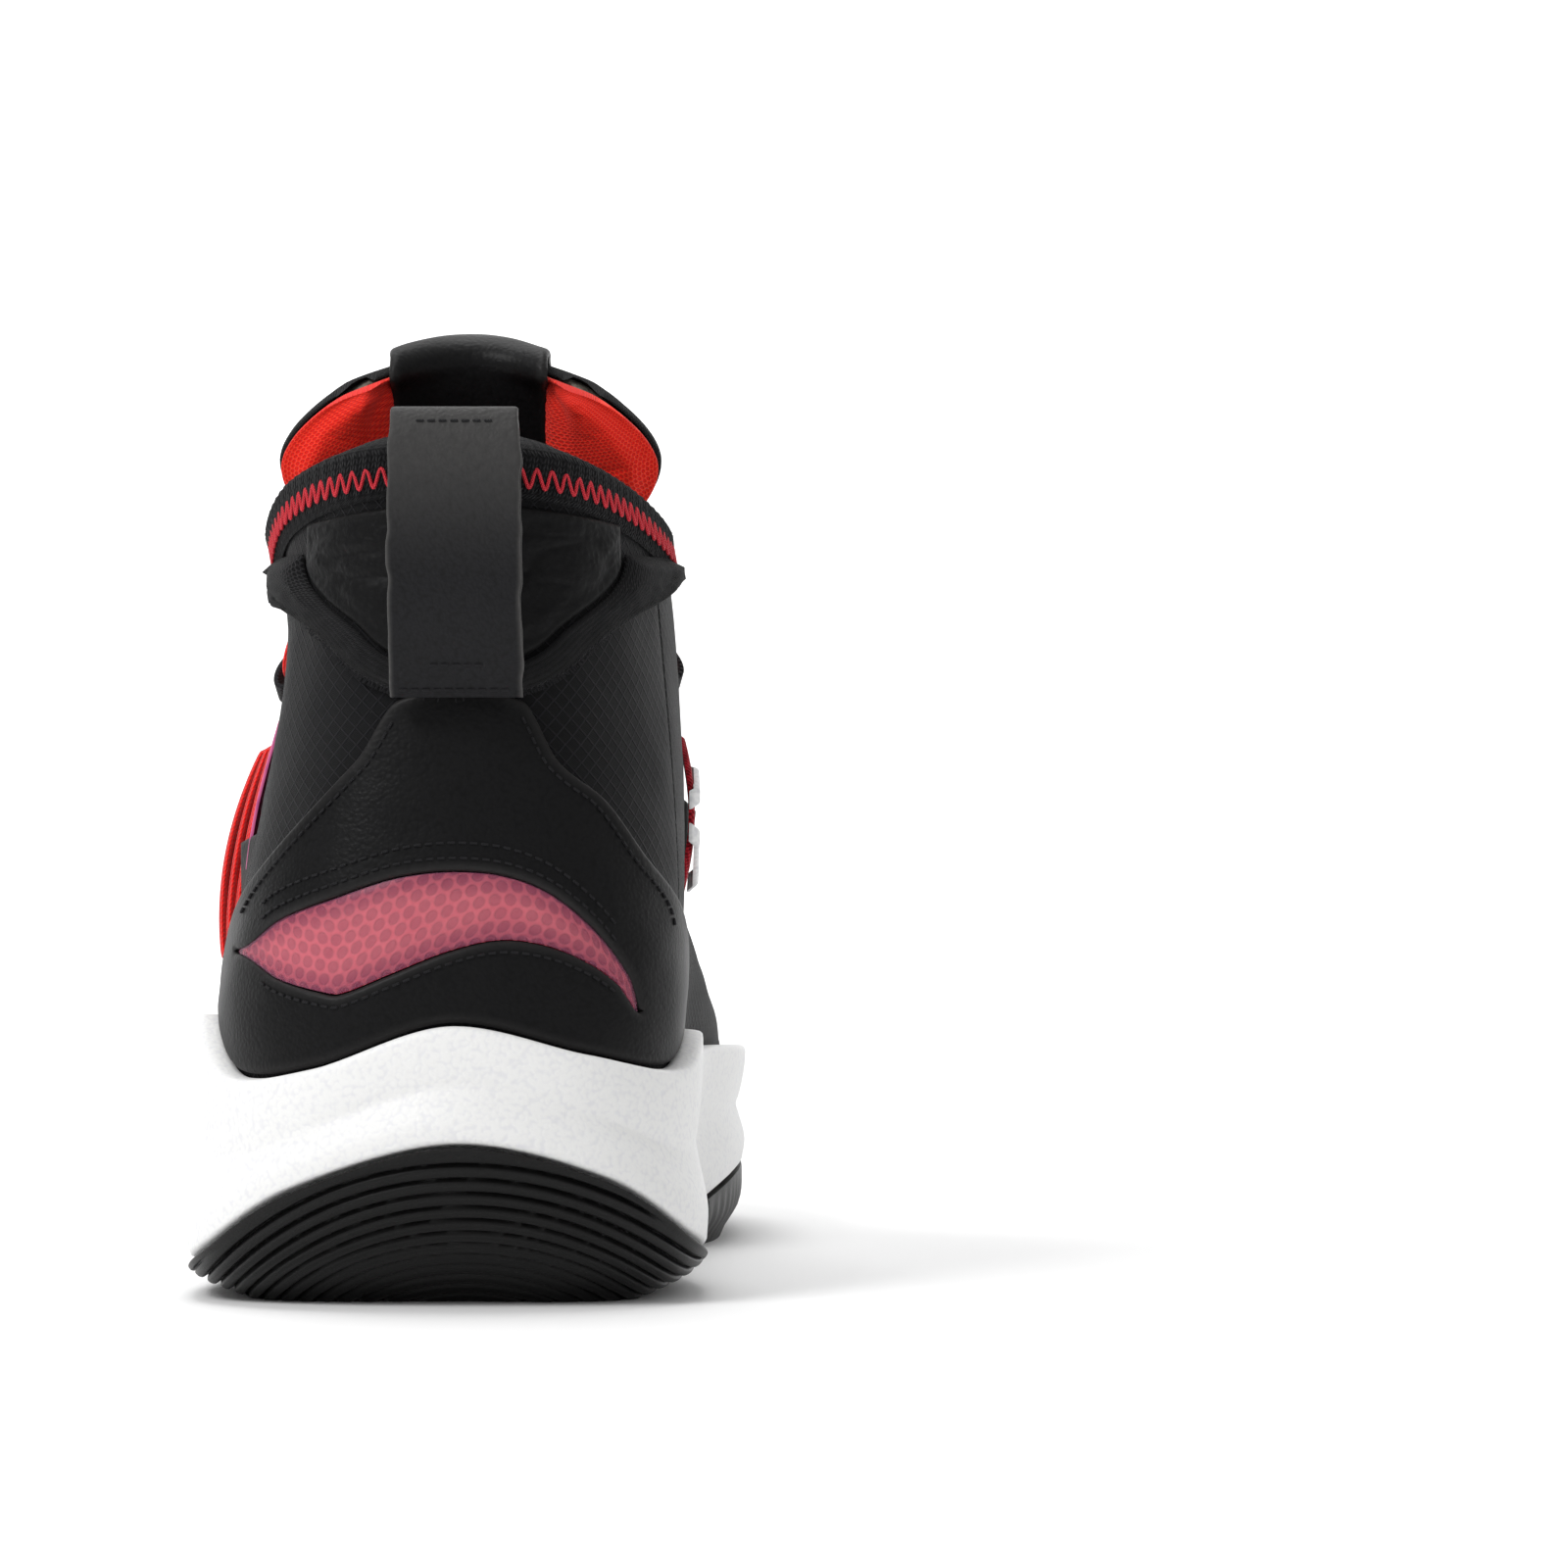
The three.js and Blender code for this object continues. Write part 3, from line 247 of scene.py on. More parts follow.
# 0 is the heel's middle, 11 the toe tip; 1 to 10 the outer side, 12 to 21 the inner side.
STATIONS = tuple(Station(*row) for row in (
    ((0, 12, 22), (0, -2, 60), (1, 30, 112), (2, 13, 152), (1, 0.5), 50, 28.5),
    ((-20, 15, 22), (-29, 3, 60), (-14, 33, 112), (-17, 20, 151), (-28, 7), 42.5, 20.5),
    ((-33, 30, 22), (-47, 20, 60), (-24, 48, 105), (-30, 41, 146.5), (-45, 23), 41, 9.5),
    ((-38, 52, 22), (-55, 50, 62), (-23, 70, 100), (-35.5, 66, 139), (-49, 47), 50.5, 5.5),
    ((-38, 80, 21), (-52, 82, 62), (-28, 88, 98), (-33, 92, 136), (-47.5, 80), 45, 5),
    ((-39, 110, 19), (-51, 112, 55), (-40, 112, 90), (-27, 112, 124), (-48, 112), 38, 5),
    ((-43, 140, 17), (-54, 142, 48), (-46, 140, 78), (-20, 138, 103), (-52, 144), 35, 6),
    ((-49, 175, 15), (-60, 178, 42), (-52, 176, 64), (-15.5, 166, 83), (-58, 180), 35, 8),
    ((-50, 212, 15), (-61, 218, 38), (-52, 214, 58), (-12.5, 191, 70), (-59, 216), 33, 9),
    ((-42, 250, 17), (-51, 258, 38), (-42, 252, 57), (-9.5, 204, 65), (-51, 253), 32, 12),
    ((-20, 279, 19), (-26, 290, 38), (-22, 280, 56), (-5, 210, 63.5), (-26, 287), 33, 18),
    ((4, 289, 20), (5, 302, 40), (4, 288, 58), (0, 212, 63), (5, 299), 35, 22),
    ((24, 281, 20), (30, 293, 40), (24, 282, 57), (5, 210, 63.5), (31, 289), 35, 19),
    ((36, 257, 18), (45, 264, 38), (38, 258, 58), (9.5, 204, 65), (45, 260), 36, 16),
    ((41, 222, 16), (52, 226, 38), (45, 220, 60), (12.5, 191, 70), (50.5, 224), 38, 15),
    ((40, 190, 15), (51, 190, 42), (46, 187, 68), (15.5, 166, 83), (49.5, 191), 40, 13),
    ((33, 155, 16), (44, 156, 48), (44, 150, 84), (21, 138, 103), (42, 157), 41, 8),
    ((30, 122, 18), (41, 122, 55), (45, 118, 96), (28, 112, 124), (38, 123), 40, 6),
    ((31, 90, 20), (41, 90, 62), (42, 94, 104), (34.5, 92, 136), (40, 91), 42, 5.5),
    ((35, 58, 22), (45, 56, 62), (40, 72, 104), (37.5, 66, 139), (45, 58), 48, 7),
    ((33, 32, 22), (44, 22, 60), (33, 50, 106), (31, 41, 145.5), (43.5, 25), 42, 11.5),
    ((20, 16, 22), (28, 4, 60), (19, 34, 112), (20, 21, 150.5), (28, 7), 45, 22.5),
))
COUNT = len(STATIONS)
TOE = COUNT / 2


def mirror(station: Array) -> Array:
    """The same place on the other side of the shoe."""
    return COUNT - station


def to_side(station: Array) -> Array:
    """How far a station is from the heel's middle, whichever side it is on (0 to 11)."""
    wrapped = np.mod(station, COUNT)
    return np.minimum(wrapped, COUNT - wrapped)


class Last:
    """The upper's surface and the sole's outline, from the stations."""

    def __init__(self, stations: Sequence[Station]) -> None:
        """Keeps the stations as arrays, and a table of x seen from behind."""
        self.curves = np.array([[s.base, s.low, s.high, s.top] for s in stations], float)
        self.edge = np.array([s.edge for s in stations], float)
        self.rims = np.array([s.rim for s in stations], float)
        self.rubbers = np.array([s.rubber for s in stations], float)
        self.rear_stations = np.linspace(-4, 4, 161)
        self.rear_heights = np.linspace(24, 152, 129)
        grid = np.meshgrid(self.rear_stations, self.rear_heights, indexing="ij")
        self.rear_x = self.surface(grid[0], self.at_height(grid[0], grid[1]))[..., 0]

    @staticmethod
    def cyclic(values: Array, station: Array) -> Array:
        """Closed Catmull-Rom curve through one value or vector per station."""
        station = np.asarray(station, float)
        cell = np.floor(station).astype(int)
        f = (station - cell).reshape(station.shape + (1,) * (values.ndim - 1))
        a, b, c, d = (values[(cell + k) % COUNT] for k in (-1, 0, 1, 2))
        return b + 0.5 * f * (c - a + f * (2 * a - 5 * b + 4 * c - d + f * (3 * (b - c) + d - a)))

    def surface(self, station: Array, t: Array) -> Array:
        """Point of the upper's outside: cubic profile at a station, t from base 0 to top 1."""
        station, t = floats(station, t)
        net = self.cyclic(self.curves, station)
        weights = np.stack([(1 - t) ** 3, 3 * t * (1 - t) ** 2, 3 * t * t * (1 - t), t ** 3], -1)
        return (net * weights[..., None]).sum(-2)

    def normal(self, station: Array, t: Array) -> Array:
        """Outward direction there, from short steps along and up."""
        station, t = floats(station, t)
        low = np.minimum(t, 0.995)
        along = self.surface(station + 0.01, low) - self.surface(station - 0.01, low)
        up = self.surface(station, low + 0.005) - self.surface(station, np.maximum(0, low - 0.005))
        return unit(np.cross(up, along))

    def point(self, station: Array, t: Array, offset: Array) -> Array:
        """The surface moved out by an offset in mm."""
        lift = np.asarray(offset, float)[..., None]
        return self.surface(station, t) + self.normal(station, t) * lift

    def at_height(self, station: Array, z: Array) -> Array:
        """The t at which the surface reaches a height, by halving."""
        station, z = floats(station, z)
        low, high = np.zeros(station.shape), np.ones(station.shape)
        for _ in range(22):
            middle = (low + high) / 2
            below = self.surface(station, middle)[..., 2] < z
            low, high = np.where(below, middle, low), np.where(below, high, middle)
        return (low + high) / 2

    def from_behind(self, x: Array, z: Array) -> tuple[Array, Array]:
        """Finds a place of the heel as seen from behind, by halving over the table of x.

        Args:
            x: distance from the heel's middle, below 0 on the outer side.
            z: height.

        Returns:
            Its station and t.
        """
        x, z = floats(x, z)
        row = np.clip((z - self.rear_heights[0]) / (self.rear_heights[1] - self.rear_heights[0]),
                      0, len(self.rear_heights) - 1.001)
        cell, share = row.astype(int), row - row.astype(int)
        low, high = np.zeros(x.shape), np.full(x.shape, len(self.rear_stations) - 1.001)
        for _ in range(26):
            middle = (low + high) / 2
            k = middle.astype(int)
            f = middle - k
            value = sum(wk * wf * self.rear_x[k + dk, cell + dc]
                        for dk, wk in ((0, 1 - f), (1, f)) for dc, wf in ((0, 1 - share), (1, share)))
            outer = value > x
            low, high = np.where(outer, middle, low), np.where(outer, high, middle)
        station = np.interp(low, np.arange(len(self.rear_stations)), self.rear_stations)
        return station, self.at_height(station, z)

    def rim(self, station: Array) -> Array:
        """Height of the midsole's top edge."""
        return self.cyclic(self.rims, station)

    def above_rim(self, station: Array, gap: float = 0.6) -> Array:
        """The t just above the midsole's top edge."""
        return self.at_height(station, self.rim(station) + gap)

    def sole_point(self, station: Array, inset: Array, z: Array) -> Array:
        """Point of the sole.

        Args:
            station: place round the shoe.
            inset: distance in from the outline.
            z: height above the toe's lift.

        Returns:
            The outline's point moved along its flat normal, then lifted.
        """
        station, inset, z = floats(station, inset, z)
        edge = self.cyclic(self.edge, station)
        along = self.cyclic(self.edge, station + 0.02) - self.cyclic(self.edge, station - 0.02)
        out = unit(np.stack([-along[..., 1], along[..., 0]], -1))
        flat = edge - out * inset[..., None]
        return np.concatenate([flat, (z + toe_lift(flat[..., 1]))[..., None]], -1)

    def rubber_rim(self, station: Array) -> Array:
        """Height of the outsole's border, less the toe's lift."""
        return self.cyclic(self.rubbers, station) - toe_lift(self.cyclic(self.edge, station)[..., 1])


def toe_lift(y: Array) -> Array:
    """How far the sole has left the ground at a distance from the heel."""
    share = np.maximum(0, (y - TOE_SPRING_START) / (SHOE_LENGTH - TOE_SPRING_START))
    return TOE_SPRING * share ** 1.6


LAST = Last(STATIONS)
COLLAR_PAD, STIFFENER, TOE_PUFF = 5.0, 1.8, 1.0


def stuffing(station: Array, t: Array) -> Array:
    """Room between shell and lining: three smooth humps added.

    Args:
        station, t: place on the upper.

    Returns:
        Thickness in mm for the collar's foam, the heel stiffener and the toe puff.
    """
    side = to_side(station)
    collar = (COLLAR_PAD + GAP) * smooth((t - 0.66) / 0.12) * smooth((4.4 - side) / 1.1)
    counter = (STIFFENER + GAP) * smooth((0.62 - t) / 0.08) * smooth((4.3 - side) / 0.8)
    toe = (TOE_PUFF + GAP) * smooth((side - 8.6) / 0.6) * smooth((0.62 - t) / 0.1)
    return collar + counter + toe


def lining_outer(station: Array, t: Array) -> Array:
    """Offset of the lining's outer face."""
    return -SHELL - GAP - stuffing(station, t)


# ------ meshes
LOOP_CORNER = np.array([-10.3, 0.6, 108.4])      # the pull loop's lowest corner on the last, mm
SHIFT = np.array(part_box("heel_pull_loop")[0]) - LOOP_CORNER * MM


def grid_faces(columns: int, rows: int, wrap: bool = False, start: int = 0) -> Array:
    """Quads of a grid of points stored column by column.

    Args:
        columns, rows: size of the grid.
        wrap: whether the last column joins the first.
        start: number of the first point.

    Returns:
        Four point numbers a quad.
    """
    a = np.arange(columns if wrap else columns - 1)[:, None]
    b = np.arange(rows - 1)[None, :]
    p = a * rows + b
    q = ((a + 1) % columns) * rows + b
    return start + np.stack([p, q, q + 1, p + 1], -1).reshape(-1, 4)


def strip_faces(one: Array, two: Array, closed: bool) -> Array:
    """Quads between two lines of point numbers of equal length."""
    first, second = (np.roll(one, -1), np.roll(two, -1)) if closed else (one[1:], two[1:])
    if not closed:
        one, two = one[:-1], two[:-1]
    return np.stack([one, first, second, two], -1)


def zigzag_cap(ring: Array) -> Array:
    """Triangles, as quads with a doubled corner, that close a ring from side to side."""
    half = (len(ring) - 1) // 2
    left, right = ring[: half + 1], ring[::-1][: half + 1]
    return np.stack([left[:-1], left[1:], right[1:], right[:-1]], -1)


def tube_faces(columns: int, rows: int) -> Array:
    """Quads of rings of points, one after another, with both ends capped."""
    number = np.arange(columns * rows).reshape(columns, rows)
    around = np.concatenate([number, number[:, :1]], 1)
    faces = [strip_faces(around[k], around[k + 1], False) for k in range(columns - 1)]
    return np.concatenate(faces + [zigzag_cap(number[0]), zigzag_cap(number[-1])[:, ::-1]])


@dataclass
class Shape:
    """A mesh in the making: points in mm, quads, and what its material reads."""

    points: Array
    faces: Array
    uv: Array | None = None       # metres along and across each point
    # besides raw edges, this mask carries the pull loop's painted highlight towards its top
    wear: Array | None = None     # 1 at a raw edge, 0 away from it

    def turned_out(self) -> "Shape":
        """The same shape with every face outwards: the enclosed volume must be positive."""
        p = self.points[self.faces]
        volume = (np.einsum("ij,ij->i", p[:, 0], np.cross(p[:, 1], p[:, 2]))
                  + np.einsum("ij,ij->i", p[:, 0], np.cross(p[:, 2], p[:, 3]))).sum()
        return self if volume >= 0 else Shape(self.points, self.faces[:, ::-1], self.uv, self.wear)

    def build(self, name: str, sharp: float = 50.0) -> bpy.types.Object:
        """Makes the Blender object at the origin, its place in its mesh.

        Args:
            name: the piece's name.
            sharp: angle above which an edge stays sharp, degrees.

        Returns:
            The object. A quad with a doubled corner becomes a triangle, a thinner one is left out.
        """
        corners = self.turned_out().faces
        mask = np.stack([corners[:, k] != corners[:, (k + 1) % 4] for k in range(4)], -1)
        corners, mask = corners[mask.sum(1) > 2], mask[mask.sum(1) > 2]
        loops, totals = corners[mask], mask.sum(1)
        mesh = bpy.data.meshes.new(name)
        mesh.vertices.add(len(self.points))
        mesh.vertices.foreach_set("co", (self.points * MM + SHIFT).astype(np.float32).ravel())
        mesh.loops.add(len(loops))
        mesh.loops.foreach_set("vertex_index", loops.astype(np.int32))
        mesh.polygons.add(len(totals))
        starts = np.concatenate([[0], np.cumsum(totals)[:-1]])
        mesh.polygons.foreach_set("loop_start", starts.astype(np.int32))
        mesh.update(calc_edges=True)
        mesh.validate()
        mesh.polygons.foreach_set("use_smooth", np.ones(len(mesh.polygons), bool))
        if self.uv is not None:
            index = np.zeros(len(mesh.loops), np.int32)
            mesh.loops.foreach_get("vertex_index", index)
            layer = mesh.uv_layers.new(name="weave")
            layer.data.foreach_set("uv", self.uv[index].astype(np.float32).ravel())
        if self.wear is not None:
            attribute = mesh.attributes.new("wear", "FLOAT", "POINT")
            attribute.data.foreach_set("value", self.wear.astype(np.float32))
        mesh.set_sharp_from_angle(angle=math.radians(sharp))
        piece = bpy.data.objects.new(name, mesh)
        bpy.context.scene.collection.objects.link(piece)
        return piece

    @staticmethod
    def joined(shapes: Sequence["Shape"]) -> "Shape":
        """Several shapes as one mesh, each turned outwards first."""
        fixed = [shape.turned_out() for shape in shapes]
        starts = np.concatenate([[0], np.cumsum([len(s.points) for s in fixed])[:-1]])
        flat = [np.zeros((len(s.points), 2)) if s.uv is None else s.uv for s in fixed]
        worn_and_highlight = [np.zeros(len(s.points)) if s.wear is None else s.wear for s in fixed]
        return Shape(np.concatenate([s.points for s in fixed]),
                     np.concatenate([s.faces + k for s, k in zip(fixed, starts)]),
                     np.concatenate(flat), np.concatenate(worn_and_highlight))


def lengths(points: Array, axis: int) -> tuple[Array, Array]:
    """Lengths of the lines of a grid of points.

    Args:
        points: the grid (columns, rows, 3).
        axis: the axis the lines run along.

    Returns:
        Distance run to each point, and the whole length of each line.
    """
    step = np.linalg.norm(np.diff(points, axis=axis), axis=-1)
    pad = [(0, 0), (0, 0)]
    pad[axis] = (1, 0)
    run = np.cumsum(np.pad(step, pad), axis=axis)
    return run, np.take(run, [-1], axis=axis)


def slab(outer: Array, inner: Array, wrap: bool = False, wear: Array | None = None) -> Shape:
    """Closed sheet between two grids of points.

    Args:
        outer, inner: the two faces (columns, rows, 3).
        wrap: whether the sheet is closed into a ring.
        wear: how raw each of the outer face's points is, 0 to 1; on the pull loop it also holds a painted
            highlight towards the top.

    Returns:
        The sheet, its map in metres run along and across.
    """
    columns, rows = outer.shape[:2]
    size = columns * rows
    faces = [grid_faces(columns, rows, wrap), grid_faces(columns, rows, wrap, size)[:, ::-1]]
    number = np.arange(size).reshape(columns, rows)
    for line in (number[:, 0][::-1], number[:, -1]):
        faces.append(strip_faces(line, line + size, wrap))
    if not wrap:
        for line in (number[0], number[-1][::-1]):
            faces.append(strip_faces(line, line + size, False))
    along, across = lengths(outer, 0)[0], lengths(outer, 1)[0]
    uv = np.stack([along, across], -1).reshape(-1, 2) * MM
    points = np.concatenate([outer.reshape(-1, 3), inner.reshape(-1, 3)])
    worn_and_highlight = None if wear is None else np.tile(wear.ravel(), 2)
    return Shape(points, np.concatenate(faces), np.tile(uv, (2, 1)), worn_and_highlight)


def round_over(distance: Array, radius: float, floor: float = 0.25) -> Array:
    """Share of full thickness near a border: a quarter circle from the floor up to one."""
    d = np.clip(distance / radius, 0, 1)
    return floor + (1 - floor) * np.sqrt(1 - (1 - d) ** 2)


@dataclass
class Patch:
    """A curved four-sided piece of the upper, as stations and t over a grid."""

    station: Array
    t: Array

    def border_distance(self) -> Array:
        """Distance in mm of each point from the nearest of the four borders."""
        points = LAST.surface(self.station, self.t)
        runs = []
        for axis in (0, 1):
            run, whole = lengths(points, axis)
            runs += [run, whole - run]
        return np.minimum.reduce(runs)

    def cloth(self, inner: Array, thick: float, extra: Array | float = 0.0, radius: float | None = None,
              distance: Array | None = None) -> Shape:
        """Closed sheet with rounded borders.

        Args:
            inner: offset of the inner face.
            thick: thickness away from the borders.
            extra: further lift of the outer face, such as padding or creases.
            radius: width of the rounded border; the thickness when left out.
            distance: distance to the nearest border, when it isn't the patch's own.

        Returns:
            The sheet, inner face as given and outer face thick times a quarter circle above it.
        """
        far = self.border_distance() if distance is None else distance
        share = round_over(far, radius or thick)
        wear = np.clip(1 - far / (1.6 * thick), 0, 1)
        base = np.broadcast_to(np.asarray(inner, float), far.shape)
        outer = LAST.point(self.station, self.t, base + thick * share + extra * smooth(far / (3 * thick)))
        return slab(outer, LAST.point(self.station, self.t, base), wear=wear)


def patch_between(start: float, end: float, low: Curve, high: Curve, columns: int, rows: int,
                  edge: float = 1.2) -> Patch:
    """Patch of the upper, with rows close to its borders.

    Args:
        start, end: its first and last station.
        low, high: t of its lower and upper border at a station.
        columns, rows: even steps over its middle.
        edge: width of the finer border, mm.

    Returns:
        The patch, t mixed straight between the two borders.
    """
    middle = LAST.surface(np.linspace(start, end, 9), 0.4)
    width = np.linalg.norm(np.diff(middle, axis=0), axis=1).sum()
    a = edge_steps(columns, min(0.2, edge / width))
    station = lerp(start, end, a)[:, None]
    bottom, top = low(station), high(station)
    tall = np.linalg.norm(LAST.surface(station, top) - LAST.surface(station, bottom), axis=-1).mean()
    b = edge_steps(rows, min(0.2, edge / tall))[None, :]
    return Patch(np.broadcast_to(station, (len(a), b.shape[1])).copy(), lerp(bottom, top, b))


def patch_behind(x: Array, z: Array) -> Patch:
    """Patch of the heel given by where its points are seen from behind."""
    return Patch(*LAST.from_behind(x, z))


def sweep(line: Array, across: Array, out: Array, outline: Array) -> Shape:
    """Section carried along a line.

    Args:
        line: points of the middle line (n, 3).
        across, out: the section's two directions at each point (n, 3).
        outline: the section's corners (k, 2).

    Returns:
        Closed body of points line + across u + out v, its map in metres along and round.
    """
    points = line[:, None] + across[:, None] * outline[:, :1] + out[:, None] * outline[:, 1:]
    columns, rows = points.shape[:2]
    girth = np.linspace(0, 1, rows, endpoint=False) * np.linalg.norm(
        np.diff(np.concatenate([outline, outline[:1]]), axis=0), axis=1).sum()
    uv = np.stack(floats(run_along(line)[:, None], girth[None, :]), -1).reshape(-1, 2) * MM
    return Shape(points.reshape(-1, 3), tube_faces(columns, rows), uv)


def directions(line: Array, facing: Array) -> tuple[Array, Array]:
    """Directions of a section along a line.

    Args:
        line: points of the line (n, 3).
        facing: rough way out at each.

    Returns:
        The across direction, and the way out made square to the line.
    """
    along = unit(np.gradient(line, axis=0))
    out = unit(facing - along * (facing * along).sum(-1, keepdims=True))
    return np.cross(along, out), out


def oval(width: float, thick: float, sides: int) -> Array:
    """Corners of an oval section."""
    angle = np.linspace(0, 2 * np.pi, sides, endpoint=False)
    return np.stack([width / 2 * np.cos(angle), thick / 2 * np.sin(angle)], -1)


def capsules(centres: Array, along: Array, out: Array, length: float, thick: float, sides: int = 6) -> Shape:
    """Many small round-ended rods in one mesh, for stitches and fibres.

    Args:
        centres, along, out: place, direction and facing of each rod (n, 3).
        length, thick: size of one rod.
        sides: corners of its section.

    Returns:
        The rods, four rings of points each.
    """
    along, out = unit(along), unit(out)
    across = np.cross(along, out)
    places = np.array([-0.5, -0.42, 0.42, 0.5]) * length
    girth = np.array([0.25, 1, 1, 0.25]) * thick / 2
    angle = np.linspace(0, 2 * np.pi, sides, endpoint=False)
    ring = (across[:, None, None] * np.cos(angle)[None, None, :, None]
            + out[:, None, None] * np.sin(angle)[None, None, :, None])
    points = (centres[:, None, None] + along[:, None, None] * places[None, :, None, None]
              + ring * girth[None, :, None, None])
    first = np.arange(len(centres))[:, None, None] * len(places) * sides
    faces = (tube_faces(len(places), sides)[None] + first).reshape(-1, 4)
    uv = np.broadcast_to(np.stack(np.broadcast_arrays(places[:, None], angle[None] * thick / 2), -1),
                         (len(centres), len(places), sides, 2)).reshape(-1, 2) * MM
    return Shape(points.reshape(-1, 3), faces, uv)


def seam(line: Array, facing: Array, pitch: float = 2.1, length: float = 1.45, thick: float = 0.62) -> Shape:
    """Row of stitches at an even pitch.

    Args:
        line, facing: points of the line and the way out at each (n, 3).
        pitch, length, thick: spacing and size of the stitches, mm.

    Returns:
        One rod a stitch.
    """
    run = run_along(line)
    at = np.arange(pitch / 2, run[-1], pitch)
    pick = lambda values: np.stack([np.interp(at, run, values[:, axis]) for axis in range(3)], -1)
    return capsules(pick(line), pick(unit(np.gradient(line, axis=0))), pick(facing), length, thick)


def seam_on(station: Array, t: Array, offset: float, **size: float) -> Shape:
    """Row of stitches along a line of the upper."""
    return seam(LAST.point(station, t, np.full(station.shape, offset)), LAST.normal(station, t), **size)


# ------ materials
class Pattern(enum.Enum):
    """The shared effects a finish can be built on; each is one shader node group."""

    PEBBLE = "pebble"            # leather and foam grain, in space
    WEAVE = "weave"              # plain weave, along the piece's own map
    RIPSTOP = "ripstop"          # fine cloth with a raised diamond grid
    KNIT = "knit"                # columns of V stitches
    NET = "net"                  # open holes in staggered rows
    RIB = "rib"                  # cords side by side along the piece


class Graph:
    """Short way to write a shader graph."""

    def __init__(self, tree: bpy.types.NodeTree) -> None:
        """Works on one node tree."""
        self.tree = tree

    def node(self, kind: str, inputs: dict[str | int, object] | None = None,
             **settings: object) -> bpy.types.Node:
        """Adds a node.

        Args:
            kind: its type.
            inputs: a value for each named input, or a socket to link from.
            settings: the node's own properties.

        Returns:
            The node.
        """
        made = self.tree.nodes.new(kind)
        for key, value in settings.items():
            setattr(made, key, value)
        for key, value in (inputs or {}).items():
            self.feed(made.inputs[key], value)
        return made

    def feed(self, socket: bpy.types.NodeSocket, value: object) -> None:
        """Links a socket from another one, or sets it to a value."""
        if isinstance(value, bpy.types.NodeSocket):
            self.tree.links.new(value, socket)
        else:
            socket.default_value = value

    def shade(self, **inputs: object) -> None:
        """Sets the Principled shader's inputs; their names have _ for a space."""
        shader = next(n for n in self.tree.nodes if n.type == "BSDF_PRINCIPLED")
        for name, value in inputs.items():
            self.feed(shader.inputs[name.replace("_", " ")], value)

    def math(self, operation: str, *values: object) -> bpy.types.NodeSocket:
        """One math node's result."""
        return self.node("ShaderNodeMath", dict(enumerate(values)), operation=operation).outputs[0]

    def ramp(self, value: object, low: float, high: float) -> bpy.types.NodeSocket:
        """0 below low, 1 above high, smooth between."""
        made = self.node("ShaderNodeMapRange", {"Value": value, "From Min": low, "From Max": high},
                         interpolation_type="SMOOTHSTEP")
        return made.outputs["Result"]

    def mix(self, share: object, one: object, two: object) -> bpy.types.NodeSocket:
        """Colour between two colours."""
        made = self.node("ShaderNodeMix", {"Factor": share, "A": one, "B": two}, data_type="RGBA")
        for key, value in (("A", one), ("B", two)):
            self.feed(next(s for s in made.inputs if s.name == key and s.type == "RGBA"), value)
        return next(s for s in made.outputs if s.type == "RGBA")

    def noise(self, place: object, size: float, detail: float = 2.0) -> bpy.types.NodeSocket:
        """Noise from 0 to 1 with lumps of about a size in metres."""
        inputs = {"Vector": place, "Scale": 1 / size, "Detail": detail}
        return self.node("ShaderNodeTexNoise", inputs).outputs[0]


